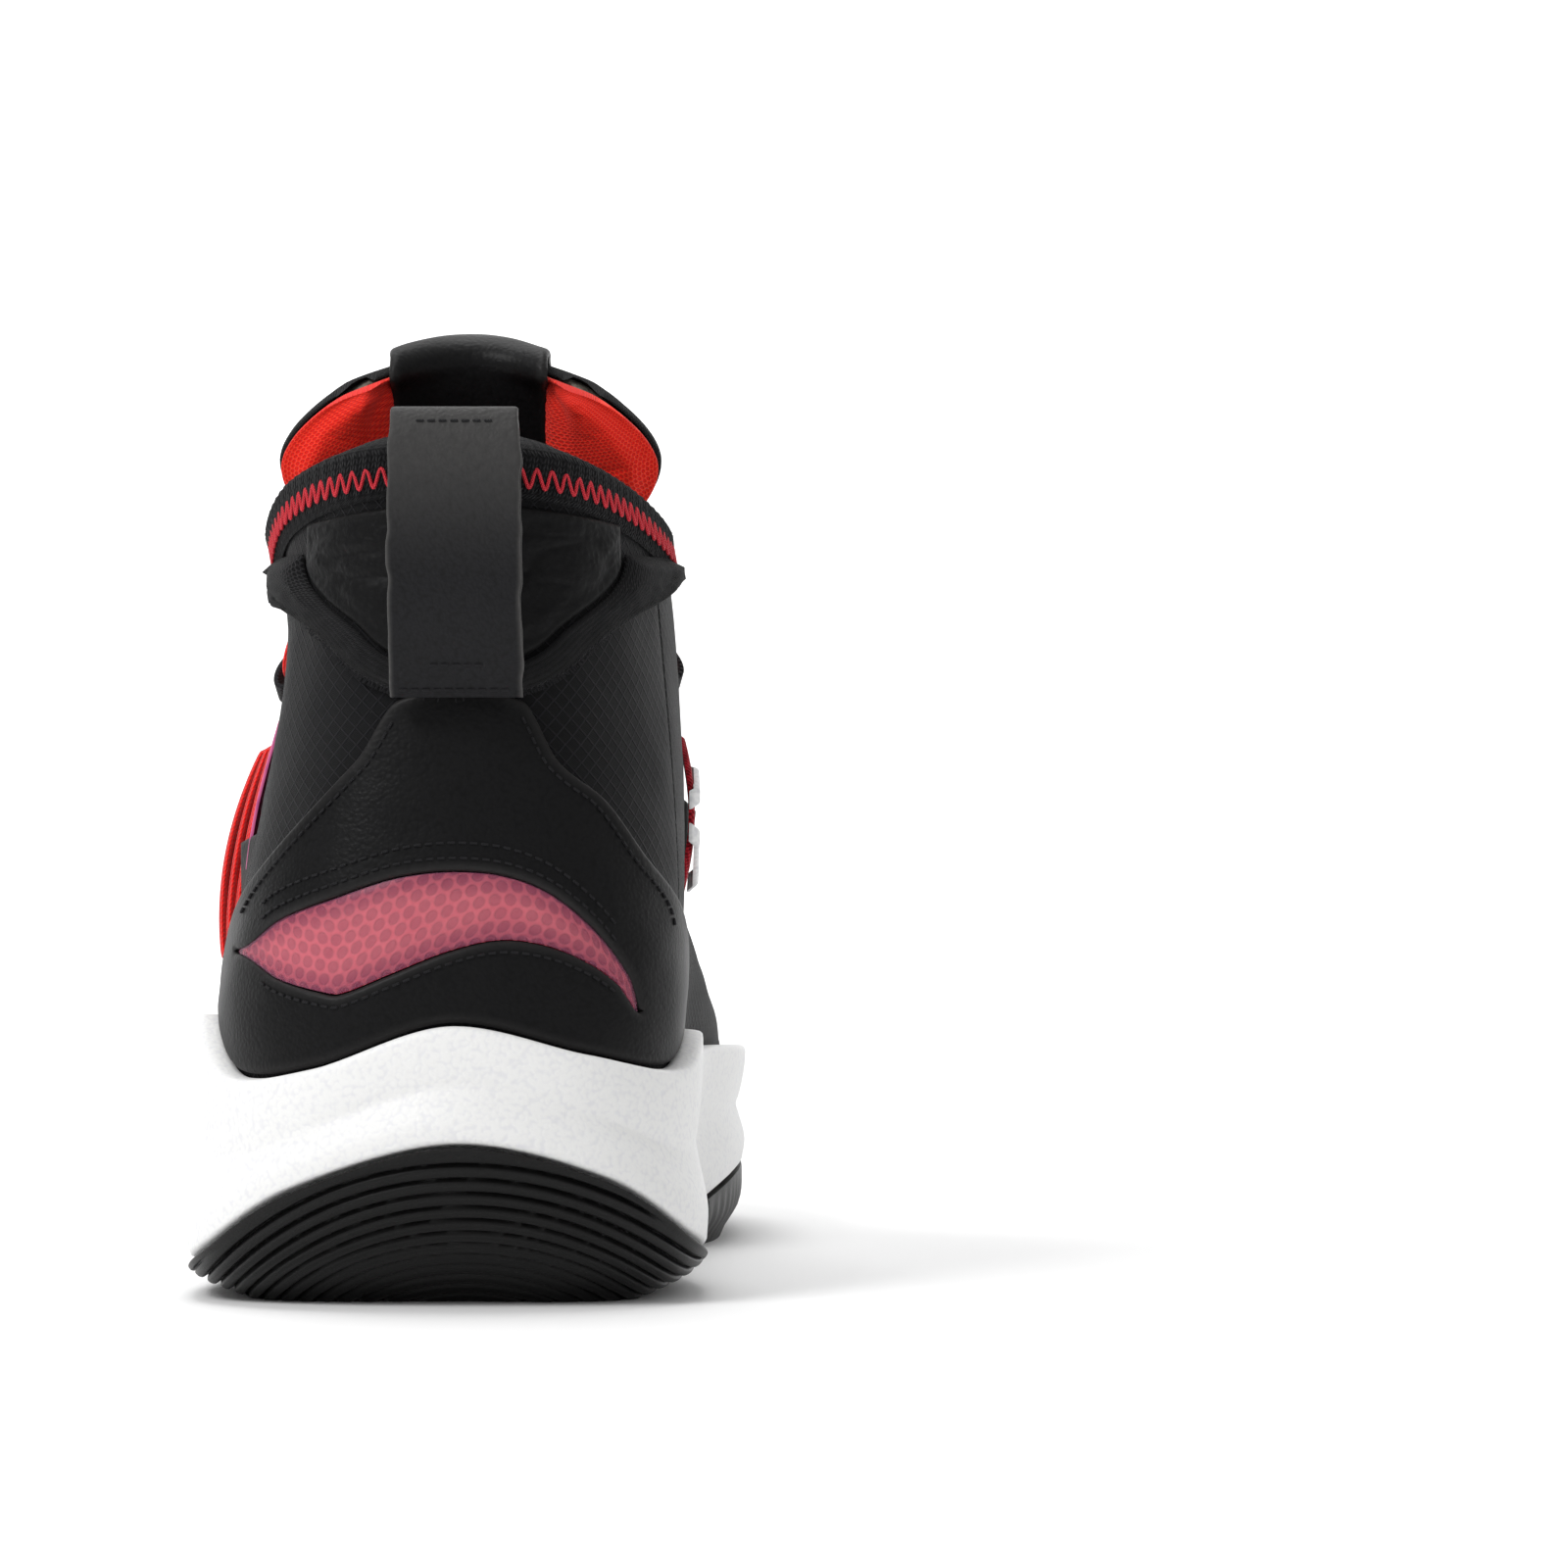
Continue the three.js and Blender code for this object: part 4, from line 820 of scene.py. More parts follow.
class Effects:
    """The shader node groups that several materials share."""

    def __init__(self) -> None:
        """Builds every group once."""
        makers = {Pattern.PEBBLE: self._pebble, Pattern.WEAVE: self._weave, Pattern.RIPSTOP: self._ripstop,
                  Pattern.KNIT: self._knit, Pattern.NET: self._net, Pattern.RIB: self._rib}
        self.patterns = {pattern: self._group(pattern.value, maker) for pattern, maker in makers.items()}
        self.tone = self._group("tone", self._tone)

    @staticmethod
    def _group(name: str, maker: Callable) -> bpy.types.NodeTree:
        """New group with a place and a size going in, a height and a shade coming out.

        Args:
            name: the group's name.
            maker: draws the pattern from the graph and the place divided by the size.

        Returns:
            The group; its shade goes from 0 to 1.
        """
        tree = bpy.data.node_groups.new(name, "ShaderNodeTree")
        tree.interface.new_socket("Place", in_out="INPUT", socket_type="NodeSocketVector")
        tree.interface.new_socket("Size", in_out="INPUT", socket_type="NodeSocketFloat")
        for output in ("Height", "Shade"):
            tree.interface.new_socket(output, in_out="OUTPUT", socket_type="NodeSocketFloat")
        graph = Graph(tree)
        given = graph.node("NodeGroupInput")
        scaled = graph.node("ShaderNodeVectorMath", {0: given.outputs["Place"]}, operation="SCALE")
        graph.tree.links.new(graph.math("DIVIDE", 1.0, given.outputs["Size"]), scaled.inputs["Scale"])
        height, shade = maker(graph, scaled.outputs[0])
        graph.node("NodeGroupOutput", {"Height": height, "Shade": shade})
        return tree

    @staticmethod
    def _split(graph: Graph, place: object) -> Sequence[bpy.types.NodeSocket]:
        """The x and y of a vector."""
        return graph.node("ShaderNodeSeparateXYZ", {0: place}).outputs[:2]

    @staticmethod
    def _wave(graph: Graph, value: object) -> bpy.types.NodeSocket:
        """Sine that repeats once per unit."""
        return graph.math("SINE", graph.math("MULTIPLY", value, 2 * math.pi))

    @staticmethod
    def _pebble(graph: Graph, place: object) -> tuple[object, object]:
        """Rounded cells with creases between them, of uneven size."""
        bend = graph.node("ShaderNodeTexNoise", {"Vector": place, "Scale": 0.4, "Detail": 2.0}).outputs[1]
        moved = graph.node("ShaderNodeVectorMath", {0: place, 1: bend}, operation="ADD").outputs[0]
        cells = graph.node("ShaderNodeTexVoronoi", {"Vector": moved, "Scale": 1.0}, feature="SMOOTH_F1")
        fine = graph.node("ShaderNodeTexNoise", {"Vector": place, "Scale": 3.0, "Detail": 3.0}).outputs[0]
        height = graph.math("MULTIPLY_ADD", fine, 0.3, graph.math("SUBTRACT", 1.0, cells.outputs["Distance"]))
        return height, graph.ramp(cells.outputs["Distance"], 0.35, 0.75)

    @classmethod
    def _weave(cls, graph: Graph, place: object) -> tuple[object, object]:
        """Threads over and under each other."""
        u, v = cls._split(graph, place)
        checks = graph.math("MULTIPLY", cls._wave(graph, u), cls._wave(graph, v))
        lift = graph.math("MULTIPLY_ADD", checks, 0.5, 0.5)
        return lift, graph.ramp(lift, 0.15, 0.7)

    @classmethod
    def _ripstop(cls, graph: Graph, place: object) -> tuple[object, object]:
        """Fine weave under a diamond grid of thicker threads."""
        u, v = cls._split(graph, place)
        lines = []
        for operation in ("ADD", "SUBTRACT"):
            folded = graph.math("PINGPONG", graph.math(operation, u, v), 0.5)
            lines.append(graph.math("SUBTRACT", 1.0, graph.ramp(folded, 0.03, 0.1)))
        grid = graph.math("MAXIMUM", *lines)
        fine = graph.math("MULTIPLY", cls._wave(graph, graph.math("MULTIPLY", u, 9.0)),
                          cls._wave(graph, graph.math("MULTIPLY", v, 9.0)))
        return graph.math("MULTIPLY_ADD", fine, 0.18, grid), grid

    @classmethod
    def _knit(cls, graph: Graph, place: object) -> tuple[object, object]:
        """Columns of V-shaped stitches."""
        u, v = cls._split(graph, place)
        fold = graph.math("PINGPONG", u, 0.5)
        column = graph.math("SINE", graph.math("MULTIPLY", fold, 2 * math.pi))
        legs = cls._wave(graph, graph.math("MULTIPLY_ADD", fold, 1.2, graph.math("MULTIPLY", v, 1.3)))
        lift = graph.math("MULTIPLY", column, graph.math("MULTIPLY_ADD", legs, 0.35, 0.65))
        return lift, graph.ramp(lift, 0.1, 0.8)

    @classmethod
    def _net(cls, graph: Graph, place: object) -> tuple[object, object]:
        """Net of rounded holes in staggered rows; shade is 1 on the threads."""
        u, v = cls._split(graph, place)
        across = graph.math("MULTIPLY", v, math.sqrt(3))
        shifted = [graph.math("MULTIPLY_ADD", u, 1.5 * sign, graph.math("MULTIPLY_ADD", across, -0.5, 0.25))
                   for sign in (1, -1)]
        waves = [cls._wave(graph, value) for value in (graph.math("ADD", across, 0.25), *shifted)]
        holes = graph.math("ADD", waves[0], graph.math("ADD", waves[1], waves[2]))
        thread = graph.math("SUBTRACT", 1.0, graph.ramp(holes, -1.2, 0.5))
        return thread, thread

    @classmethod
    def _rib(cls, graph: Graph, place: object) -> tuple[object, object]:
        """Round cords side by side, each with slanting strands."""
        u, v = cls._split(graph, place)
        cord = graph.math("ABSOLUTE", graph.math("SINE", graph.math("MULTIPLY", v, math.pi)))
        strand = cls._wave(graph, graph.math("ADD", graph.math("MULTIPLY", u, 1.1), v))
        return graph.math("MULTIPLY_ADD", strand, 0.22, cord), graph.ramp(cord, 0.1, 0.7)

    @staticmethod
    def _tone(graph: Graph, place: object) -> tuple[object, object]:
        """Slow drift of tone for handled surfaces; height carries small dents."""
        wide = graph.node("ShaderNodeTexNoise", {"Vector": place, "Scale": 1.0, "Detail": 4.0}).outputs[0]
        dents = graph.node("ShaderNodeTexNoise", {"Vector": place, "Scale": 2.6, "Detail": 2.0}).outputs[0]
        return dents, graph.ramp(wide, 0.3, 0.72)


def rgb(red: float, green: float, blue: float) -> tuple[float, float, float, float]:
    """Screen colour, 0 to 255 a channel, as linear light: the usual power law with a straight foot."""
    linear = [((c / 255 + 0.055) / 1.055) ** 2.4 if c > 10 else c / 255 / 12.92 for c in (red, green, blue)]
    return (*linear, 1.0)


@dataclass(frozen=True)
class Finish:
    """One material: two colours mixed by a shared pattern, and how it takes light.

    Colours are screen colours, 0 to 255. size is the pattern's repeat and height its relief, both
    in mm. solid is whether it is read in space instead of along the piece, as grain always is. worn
    is the colour of raw or rubbed edges; on the strap it is also a painted highlight towards the top.
    drift is how far the tone wanders over a few centimetres.
    """

    name: str
    high: tuple[int, int, int]
    low: tuple[int, int, int]
    pattern: Pattern
    size: float
    height: float
    roughness: float = 0.8
    solid: bool = False
    worn_and_highlight: tuple[int, int, int] | None = None
    drift: float = 0.25
    coat: float = 0.0
    sheen: float = 0.0
    clear: float = 0.0
    gloss: float = 0.12

    def material(self, effects: Effects) -> bpy.types.Material:
        """Builds the shader: the pattern mixes the colours, the tone dims them, wear covers edges and paints
        the strap's highlight towards its top.
        """
        made = bpy.data.materials.new(self.name)
        made.use_nodes = True
        graph = Graph(made.node_tree)
        solid = graph.node("ShaderNodeTexCoord").outputs["Object"]
        grain = self.pattern is Pattern.PEBBLE
        place = solid
        if not (self.solid or grain):
            place = graph.node("ShaderNodeUVMap", uv_map="weave").outputs[0]
        pattern = graph.node("ShaderNodeGroup", node_tree=effects.patterns[self.pattern])
        tone = graph.node("ShaderNodeGroup", node_tree=effects.tone)
        for group, source, size in ((pattern, place, self.size * MM), (tone, solid, 0.03)):
            graph.feed(group.inputs["Place"], source)
            graph.feed(group.inputs["Size"], size)
        high, low = rgb(*self.high), rgb(*self.low)
        colour = graph.mix(pattern.outputs["Shade"], *((high, low) if grain else (low, high)))
        dark = tuple(c * (1 - self.drift) for c in high[:3]) + (1.0,)
        dim = graph.math("MULTIPLY", tone.outputs["Shade"], min(0.6, self.drift * 1.6))
        colour = graph.mix(dim, colour, dark)
        # raw edges take the worn colour; on the strap the same mask also paints a highlight towards its top
        if self.worn_and_highlight is not None:
            edge = graph.node("ShaderNodeAttribute", attribute_name="wear").outputs["Fac"]
            patchy = graph.math("MULTIPLY_ADD", graph.noise(solid, 0.0015), 0.5, 0.6)
            colour = graph.mix(graph.math("MULTIPLY", edge, patchy), colour, rgb(*self.worn_and_highlight))
        rough = graph.math("MULTIPLY_ADD", tone.outputs["Shade"], 0.12, self.roughness - 0.06)
        bump = graph.node("ShaderNodeBump", {"Height": pattern.outputs["Height"], "Strength": 1.0,
                                             "Distance": self.height * MM})
        graph.shade(Base_Color=colour, Roughness=rough, Normal=bump.outputs[0], Coat_Weight=self.coat,
                    Coat_Roughness=0.35, Sheen_Weight=self.sheen, Sheen_Roughness=0.5,
                    Specular_IOR_Level=self.gloss)
        if self.clear:
            graph.shade(Alpha=1 - self.clear)
        return made


class Look(enum.Enum):
    """Every finish of the shoe."""

    RUBBER = Finish("black rubber", (20, 20, 20), (14, 14, 14), Pattern.PEBBLE, 0.35, 0.03, 0.45,
                    gloss=0.2)
    FOAM = Finish("white moulded foam", (238, 238, 237), (229, 229, 231), Pattern.PEBBLE, 0.8, 0.1,
                  0.5, drift=0.02, gloss=0.4)
    PLATE = Finish("moulded nylon plate", (44, 44, 47), (34, 34, 37), Pattern.PEBBLE, 0.6, 0.03, 0.35)
    BOARD = Finish("fibre board", (214, 203, 186), (190, 178, 160), Pattern.PEBBLE, 0.8, 0.05, 0.9)
    INSOLE = Finish("insole cloth", (40, 40, 43), (20, 20, 22), Pattern.WEAVE, 0.9, 0.08, 0.9, True,
                    sheen=0.2)
    LINING = Finish("dark red lining", (150, 24, 24), (80, 10, 12), Pattern.KNIT, 1.3, 0.15, 0.9,
                    sheen=0.3)
    STIFFENER = Finish("moulded counter", (206, 196, 176), (180, 170, 150), Pattern.PEBBLE, 0.7, 0.04,
                       0.8)
    PADDING = Finish("open foam", (120, 114, 104), (84, 79, 72), Pattern.PEBBLE, 0.5, 0.1, 0.95)
    RIPSTOP = Finish("black ripstop", (28, 28, 31), (8, 8, 9), Pattern.RIPSTOP, 3.2, 0.25, 0.6,
                     sheen=0.03)
    AIR_MESH = Finish("black vamp mesh", (27, 27, 29), (5, 5, 6), Pattern.NET, 2.0, 0.35, 0.8,
                      sheen=0.04)
    LEATHER = Finish("black leather", (16, 16, 17), (10, 10, 11), Pattern.PEBBLE, 0.75, 0.08, 0.45,
                     worn_and_highlight=(40, 39, 39), coat=0.02)
    SOFT_LEATHER = Finish("soft crinkled leather", (14, 14, 15), (8, 8, 9), Pattern.PEBBLE, 1.2, 0.2,
                          0.5, worn_and_highlight=(22, 22, 22))
    STRAP = Finish("charcoal strap leather", (29, 29, 31), (23, 23, 24), Pattern.PEBBLE, 0.7, 0.12,
                   0.48, worn_and_highlight=(80, 79, 78), drift=0.15)
    WINDOW = Finish("red net under the film", (248, 112, 122), (160, 34, 58), Pattern.NET, 4.2, 0.5,
                    0.7, drift=0.1)
    FILM = Finish("milky film", (212, 124, 138), (208, 118, 134), Pattern.PEBBLE, 4.0, 0.03, 0.35,
                  worn_and_highlight=(118, 62, 96), drift=0.12, coat=0.1, clear=0.66, gloss=0.3)
    WING_FILM = Finish("violet film", (222, 108, 160), (176, 78, 140), Pattern.PEBBLE, 3.0, 0.05, 0.3,
                       drift=0.3, coat=0.25, clear=0.1)
    BINDING = Finish("raw mesh binding", (32, 32, 34), (3, 3, 4), Pattern.NET, 1.7, 0.5, 0.85,
                     sheen=0.06)
    KNIT = Finish("black collar knit", (27, 27, 29), (6, 6, 7), Pattern.KNIT, 1.5, 0.3, 0.9, sheen=0.05)
    TONGUE_KNIT = Finish("black tongue knit", (27, 27, 29), (8, 8, 9), Pattern.KNIT, 1.2, 0.2, 0.9,
                         sheen=0.05)
    RED_MESH = Finish("bright red lining mesh", (255, 56, 34), (226, 24, 16), Pattern.NET, 1.5, 0.22,
                      0.85, sheen=0.1, drift=0.06)
    WEBBING = Finish("dark red webbing", (178, 20, 38), (96, 6, 18), Pattern.WEAVE, 1.1, 0.22, 0.75,
                     sheen=0.2)
    LOOP_WEBBING = Finish("black loop webbing", (40, 40, 43), (14, 14, 16), Pattern.WEAVE, 1.0, 0.2,
                          0.8, sheen=0.15)
    LACE = Finish("bright red lace", (240, 38, 32), (176, 16, 16), Pattern.RIB, 1.05, 0.24, 0.8,
                  sheen=0.2, drift=0.12)
    BAR = Finish("white moulded bar", (240, 240, 240), (222, 222, 224), Pattern.PEBBLE, 0.8, 0.05, 0.5,
                 drift=0.04)
    BLACK_THREAD = Finish("black thread", (42, 42, 44), (18, 18, 19), Pattern.WEAVE, 0.4, 0.1, 0.6)
    RED_THREAD = Finish("red thread", (222, 62, 72), (160, 30, 44), Pattern.WEAVE, 0.5, 0.12, 0.6,
                        drift=0.1)


class Wardrobe:
    """Makes each finish's material once and hands it out."""

    def __init__(self) -> None:
        """Builds the shared effects."""
        self.effects = Effects()
        self.made: dict[Look, bpy.types.Material] = {}

    def dress(self, piece: bpy.types.Object, look: Look) -> None:
        """Gives a piece its material."""
        if look not in self.made:
            self.made[look] = look.value.material(self.effects)
        piece.data.materials.append(self.made[look])


@dataclass
class Assembly:
    """A named part of the shoe that can place its own pieces."""

    wardrobe: Wardrobe

    def place(self, name: str, shape: Shape, look: Look, slot: str, nodes: Sequence[str] = (),
              body: Body | None = Body.SHOE, sharp: float = 50.0) -> bpy.types.Object:
        """Builds a piece, dresses it and ties it to its body.

        Args:
            name: the piece's name.
            shape: its mesh.
            look: its finish.
            slot: the record's material slot; not used.
            nodes: CAD nodes it stands for.
            body: the body it rides on, or None to leave it unattached.
            sharp: angle above which an edge stays sharp, degrees.

        Returns:
            The piece's object.
        """
        piece = shape.build("shoe." + name.replace(" ", "_"), sharp)
        self.wardrobe.dress(piece, look)
        if body is not None:
            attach(piece, body.value)
        if nodes:
            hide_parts(*nodes)
        LOG.info("%s: %d faces", name, len(piece.data.polygons))
        return piece


# ------ sole
def both_sides(places: Array) -> Array:
    """Stations of one side, then the same places on the other side, as one ring."""
    inner = places[(np.mod(places, TOE) > 1e-6)]
    return np.concatenate([places, mirror(inner)[::-1]])


def ring_stack(rings: Sequence[Array]) -> Shape:
    """Closed body from rings of equal length (n, 3), one above another, capped at both ends."""
    size = len(rings[0])
    number = np.arange(len(rings) * size).reshape(len(rings), size)
    faces = [strip_faces(number[k], number[k + 1], True) for k in range(len(rings) - 1)]
    faces += [zigzag_cap(number[0])[:, ::-1], zigzag_cap(number[-1])]
    points = np.concatenate(rings)
    return Shape(points, np.concatenate(faces), points[:, :2] * MM)


@dataclass
class Sole(Assembly):
    """Outsole in two pieces, arch plate and midsole."""

    heel_end: float = 4.75
    fore_start: float = 6.35
    groove_depth: float = 1.1
    groove_width: float = 0.12
    arc_centre: tuple[float, float] = (3.0, -38.0)
    arc_radius: float = 66.4
    first_groove: float = 1.0
    groove_count: float = 28.7
    groove_squeeze: float = 0.01258
    well_gap: float = 0.03

    def heel_bevel(self, station: Array) -> Array:
        """How far the heel's rubber leans in towards the ground."""
        return through([(0, 25), (1, 19), (2, 13), (3, 9.5), (4, 7), (6, 3)], to_side(station))

    def fore_bevel(self, station: Array) -> Array:
        """The same at the forefoot."""
        return through([(6, 4), (9, 5), (TOE, 11), (13, 6), (16, 4)], station)

    def heel_wall(self, station: Array, rows: int) -> Array:
        """Outer face of the heel's rubber with its grooves.

        Grooves are arcs seen from behind, closer together further down, where the wall leans in. A
        groove's number is -count ln(1 - squeeze d) at a distance d inside the arc.

        Args:
            station: places round the heel.
            rows: steps from the ground up to the rim.

        Returns:
            Points (rows, places, 3).
        """
        rim, bevel = LAST.rubber_rim(station), self.heel_bevel(station)
        knots = np.stack([np.stack([bevel, 0 * rim], -1), np.stack([bevel * 0.34, rim * 0.42], -1),
                          np.stack([0.1 + 0 * rim, rim - 1.2], -1), np.stack([0.5 + 0 * rim, rim], -1)])
        share = np.linspace(0, 1, rows)
        profile = spline(knots, share)
        points = LAST.sole_point(station[None, :], profile[..., 0], profile[..., 1])
        from_centre = points[..., [0, 2]] - np.array(self.arc_centre)
        below = self.arc_radius - np.hypot(from_centre[..., 0], from_centre[..., 1])
        run, whole = lengths(points, 0)
        left = np.maximum(0.05, 1 - self.groove_squeeze * np.maximum(below, 0))
        phase = np.mod(-self.groove_count * np.log(left) - self.first_groove, 1)
        near = np.exp(-(np.minimum(phase, 1 - phase) / self.groove_width) ** 2)
        shown = smooth((whole - run - 1.8) / 0.8) * smooth((run + 0.4) / 0.8)
        shown = shown * smooth(4.0 - to_side(station))[None, :]
        depth = self.groove_depth * near * shown
        crown = 0.22 * np.cos(np.pi * phase) ** 2 * shown
        out = unit(np.cross(np.gradient(points, axis=1), np.gradient(points, axis=0)))
        outward = np.sign((out * (points - np.array([0, 60, 60.0]))).sum(-1, keepdims=True).mean())
        return points - outward * out * (depth + crown)[..., None]

    def build(self) -> None:
        """Makes the four pieces."""
        one_side = np.linspace(0, self.heel_end, 170)
        heel = np.concatenate([-one_side[:0:-1], one_side])
        rim, bevel = LAST.rubber_rim(heel), self.heel_bevel(heel)
        wall = self.heel_wall(heel, 175)
        rings = [LAST.sole_point(heel, bevel + 9, 0 * rim), *wall,
                 LAST.sole_point(heel, RUBBER - 0.5, rim),
                 LAST.sole_point(heel, bevel * 0.34 + RUBBER, np.maximum(RUBBER, rim * 0.42 + 1)),
                 LAST.sole_point(heel, bevel + RUBBER, RUBBER + 0 * rim)]
        self.place("heel rubber", ring_stack(rings), Look.RUBBER, "rubber", ["heel_outsole"], sharp=70)
        self.forefoot()
        self.arch()
        self.midsole()

    def forefoot(self) -> None:
        """Forefoot rubber, with flutes along its border and a turned-up toe."""
        places = both_sides(np.concatenate([np.linspace(self.fore_start, TOE - 0.02, 150), [TOE]]))
        rim, bevel = LAST.rubber_rim(places), self.fore_bevel(places)
        flute = 0.35 * (0.5 + 0.5 * np.sin(2 * np.pi * np.arange(len(places)) / 5))
        rings = [LAST.sole_point(places, bevel + 6, 0 * rim), LAST.sole_point(places, bevel, 0 * rim)]
        for share in np.linspace(0.15, 0.95, 9):
            inset = spline(np.stack([bevel, 0.6 + 0 * rim, 0 * rim + 0.1]), np.array([share]))[0]
            fade = math.sin(math.pi * share)
            rings.append(LAST.sole_point(places, inset + flute * fade, rim * share))
        rings += [LAST.sole_point(places, 0.3 + 0 * rim, rim), LAST.sole_point(places, 2.4 + 0 * rim, rim),
                  LAST.sole_point(places, 3.2 + 0 * rim, np.maximum(RUBBER, rim * 0.6)),
                  LAST.sole_point(places, bevel + 3, RUBBER + 0 * rim)]
        self.place("forefoot rubber", ring_stack(rings), Look.RUBBER, "rubber", ["forefoot_outsole"],
                   sharp=60)

    def arch(self) -> None:
        """Waisted plate under the arch, with two raised ribs."""
        start, end = self.heel_end + 0.24, self.fore_start - 0.24
        places = both_sides(np.linspace(start, end, 40))
        inset = 7 + 5 * np.sin(np.pi * (to_side(places) - start) / (end - start))
        bottom = RUBBER + 0.9
        heights = ((0.6, 0.0), (0.0, 0.5), (0.0, SHANK - 0.5), (0.6, SHANK))
        self.place("arch plate", ring_stack([LAST.sole_point(places, inset + pull, bottom + up + 0 * inset)
                                             for pull, up in heights]), Look.PLATE, "plate", ["arch_plate"])

    def midsole(self) -> None:
        """Moulded foam: a well for the rubber, a waisted wall, a cupped rim and the foot's bed."""
        gap = self.well_gap
        one = np.concatenate([np.linspace(0, self.heel_end, 150), self.heel_end + np.array([gap, 0.1]),
                              np.linspace(5, self.fore_start - 0.1, 30), [self.fore_start - gap],
                              np.linspace(self.fore_start, TOE - 0.02, 110), [TOE]])
        s = both_sides(one)
        side = to_side(s)
        heel = side < self.heel_end + 0.05
        rubber = heel | (side > self.fore_start - 0.05)
        zero = 0 * s
        rim_low, bevel = LAST.rubber_rim(s), np.where(heel, self.heel_bevel(s), self.fore_bevel(s))
        arch = smooth((side - self.heel_end - gap) / 0.07) * smooth((self.fore_start - gap - side) / 0.07)
        under = RUBBER + GAP + (SHANK + 1) * arch
        low_edge = np.where(rubber, rim_low + GAP + 0.5, under + 3)
        lip = np.where(heel, RUBBER, 3.2) + GAP
        well = np.where(heel, self.heel_bevel(s) * 0.34 + RUBBER, 3.4) + GAP
        height = np.maximum(RUBBER, np.where(heel, rim_low * 0.42 + 1, rim_low * 0.6)) + GAP
        height = np.where(rubber, height, under + 0.5)
        floor = bevel + np.where(heel, RUBBER, 3.0) + GAP
        rim = LAST.rim(s)
        wall = lambda z, offset: LAST.point(s, LAST.at_height(s, z), zero + offset)
        low, high = LAST.sole_point(s, zero, low_edge), wall(rim - 1.2, 5.2)
        flat = unit((LAST.sole_point(s, zero, zero) - LAST.sole_point(s, zero + 1, zero)) * [1, 1, 0])
        rings = [LAST.sole_point(s, floor, under), LAST.sole_point(s, well, height),
                 LAST.sole_point(s, lip, low_edge), LAST.sole_point(s, zero + 1.3, low_edge),
                 LAST.sole_point(s, zero + 0.5, low_edge + 0.25)]
        waist = [(0, -0.1), (0.2, 0.3), (0.44, -1.2), (0.52, -1.7), (0.6, -1.15), (0.8, -0.3), (1, 0)]
        for share in np.linspace(0.03, 0.97, 26):
            rings.append(lerp(low, high, share) + flat * through(waist, np.array([share]))[0])
        rings += [wall(rim - down, offset) for down, offset in (
            (1.2, 5.2), (0.45, 5.0), (0.1, 4.5), (0, 3.6), (0, 1.6), (0.4, GAP + 0.1))]
        base = LAST.surface(s, zero)
        rings += [wall(lerp(rim, base[:, 2], share), GAP + 0.25) for share in (0.33, 0.66)]
        bed = LAST.point(s, zero, zero + GAP)
        bed[:, 2] = base[:, 2] - BOARD - 2 * GAP
        rings += [LAST.point(s, zero + 0.012, zero + GAP + 0.25), bed]
        self.place("midsole foam", ring_stack(rings), Look.FOAM, "foam", ["midsole"], sharp=65)


# ------ foot bed, lining and what they hide
def lining_inner(station: Array, t: Array) -> Array:
    """Offset of the lining's inner face."""
    return lining_outer(station, t) - LINING


@dataclass
class Bootie(Assembly):
    """Lasting board, insole, sock lining, heel stiffener, toe puff and collar foam."""

    insole_height: float = 4.0
    seam_gap: float = 0.015

    def bed_ring(self, height: float, inset: float, own: bool) -> Array:
        """Ring inside the upper.

        Args:
            height: height above the upper's base.
            inset: offset from the shell, below 0 inwards.
            own: whether the offset is measured from the lining instead.

        Returns:
            Points round the shoe.
        """
        s = np.linspace(0, COUNT, 177)[:-1]
        base = LAST.surface(s, 0)[:, 2]
        t = LAST.at_height(s, base + height) if height > 0 else 0 * s
        ring = LAST.point(s, t, (lining_inner(s, t) if own else 0) + inset)
        ring[:, 2] = base + height
        return ring

    def build(self) -> None:
        """Makes every piece of the inside."""
        board = [self.bed_ring(height, inset, False) for height, inset in (
            (-BOARD - GAP, -1.0), (-BOARD, -0.6), (-2 * GAP, -0.6), (-GAP, -1.0))]
        self.place("lasting board", ring_stack(board), Look.BOARD, "board", ["lasting_board"])
        top = 1.6 + self.insole_height
        sole = [self.bed_ring(height, inset, True) for height, inset in (
            (1.6, -2.6), (2.2, -2.1), (top - 0.8, -1.6), (top, -2.4))]
        self.place("insole", ring_stack(sole), Look.INSOLE, "insole", ["insole"])
        s, t = np.linspace(0, COUNT, 265)[:-1, None], np.linspace(0, TOP, 60)[None, :]
        lining = slab(LAST.point(s, t, lining_outer(s, t)), LAST.point(s, t, lining_inner(s, t)), wrap=True)
        self.place("sock lining", lining, Look.LINING, "lining", ["bootie_lining"])
        level = TOP / 12
        for name, node, start, end in (("heel stiffener", "heel_stiffener", -3.5, 3.5),
                                       ("toe puff", "toe_puff", 9.5, mirror(9.5))):
            part = patch_between(start, end, lambda s: level + 0 * s, lambda s: 6 * level + 0 * s, 60, 24)
            room = stuffing(part.station, part.t) - GAP
            counter = part.cloth(-SHELL - GAP - room, 1.0, room - 1.0)
            self.place(name, counter, Look.STIFFENER, "stiffener", [node])
        for name, start, end in (("lateral", 1, 3.5), ("heel", -1, 1), ("medial", -3.5, -1)):
            part = patch_between(start + self.seam_gap, end - self.seam_gap, lambda s: 9 * level + 0 * s,
                                 lambda s: TOP + 0 * s, 40, 16)
            room = np.maximum(0.8, stuffing(part.station, part.t) - GAP)
            foam = part.cloth(-SHELL - GAP - room, 0.6, room - 0.6, radius=2.5)
            pad = self.place(f"collar foam {name}", foam, Look.PADDING, "padding", [f"collar_pad_{name}"])


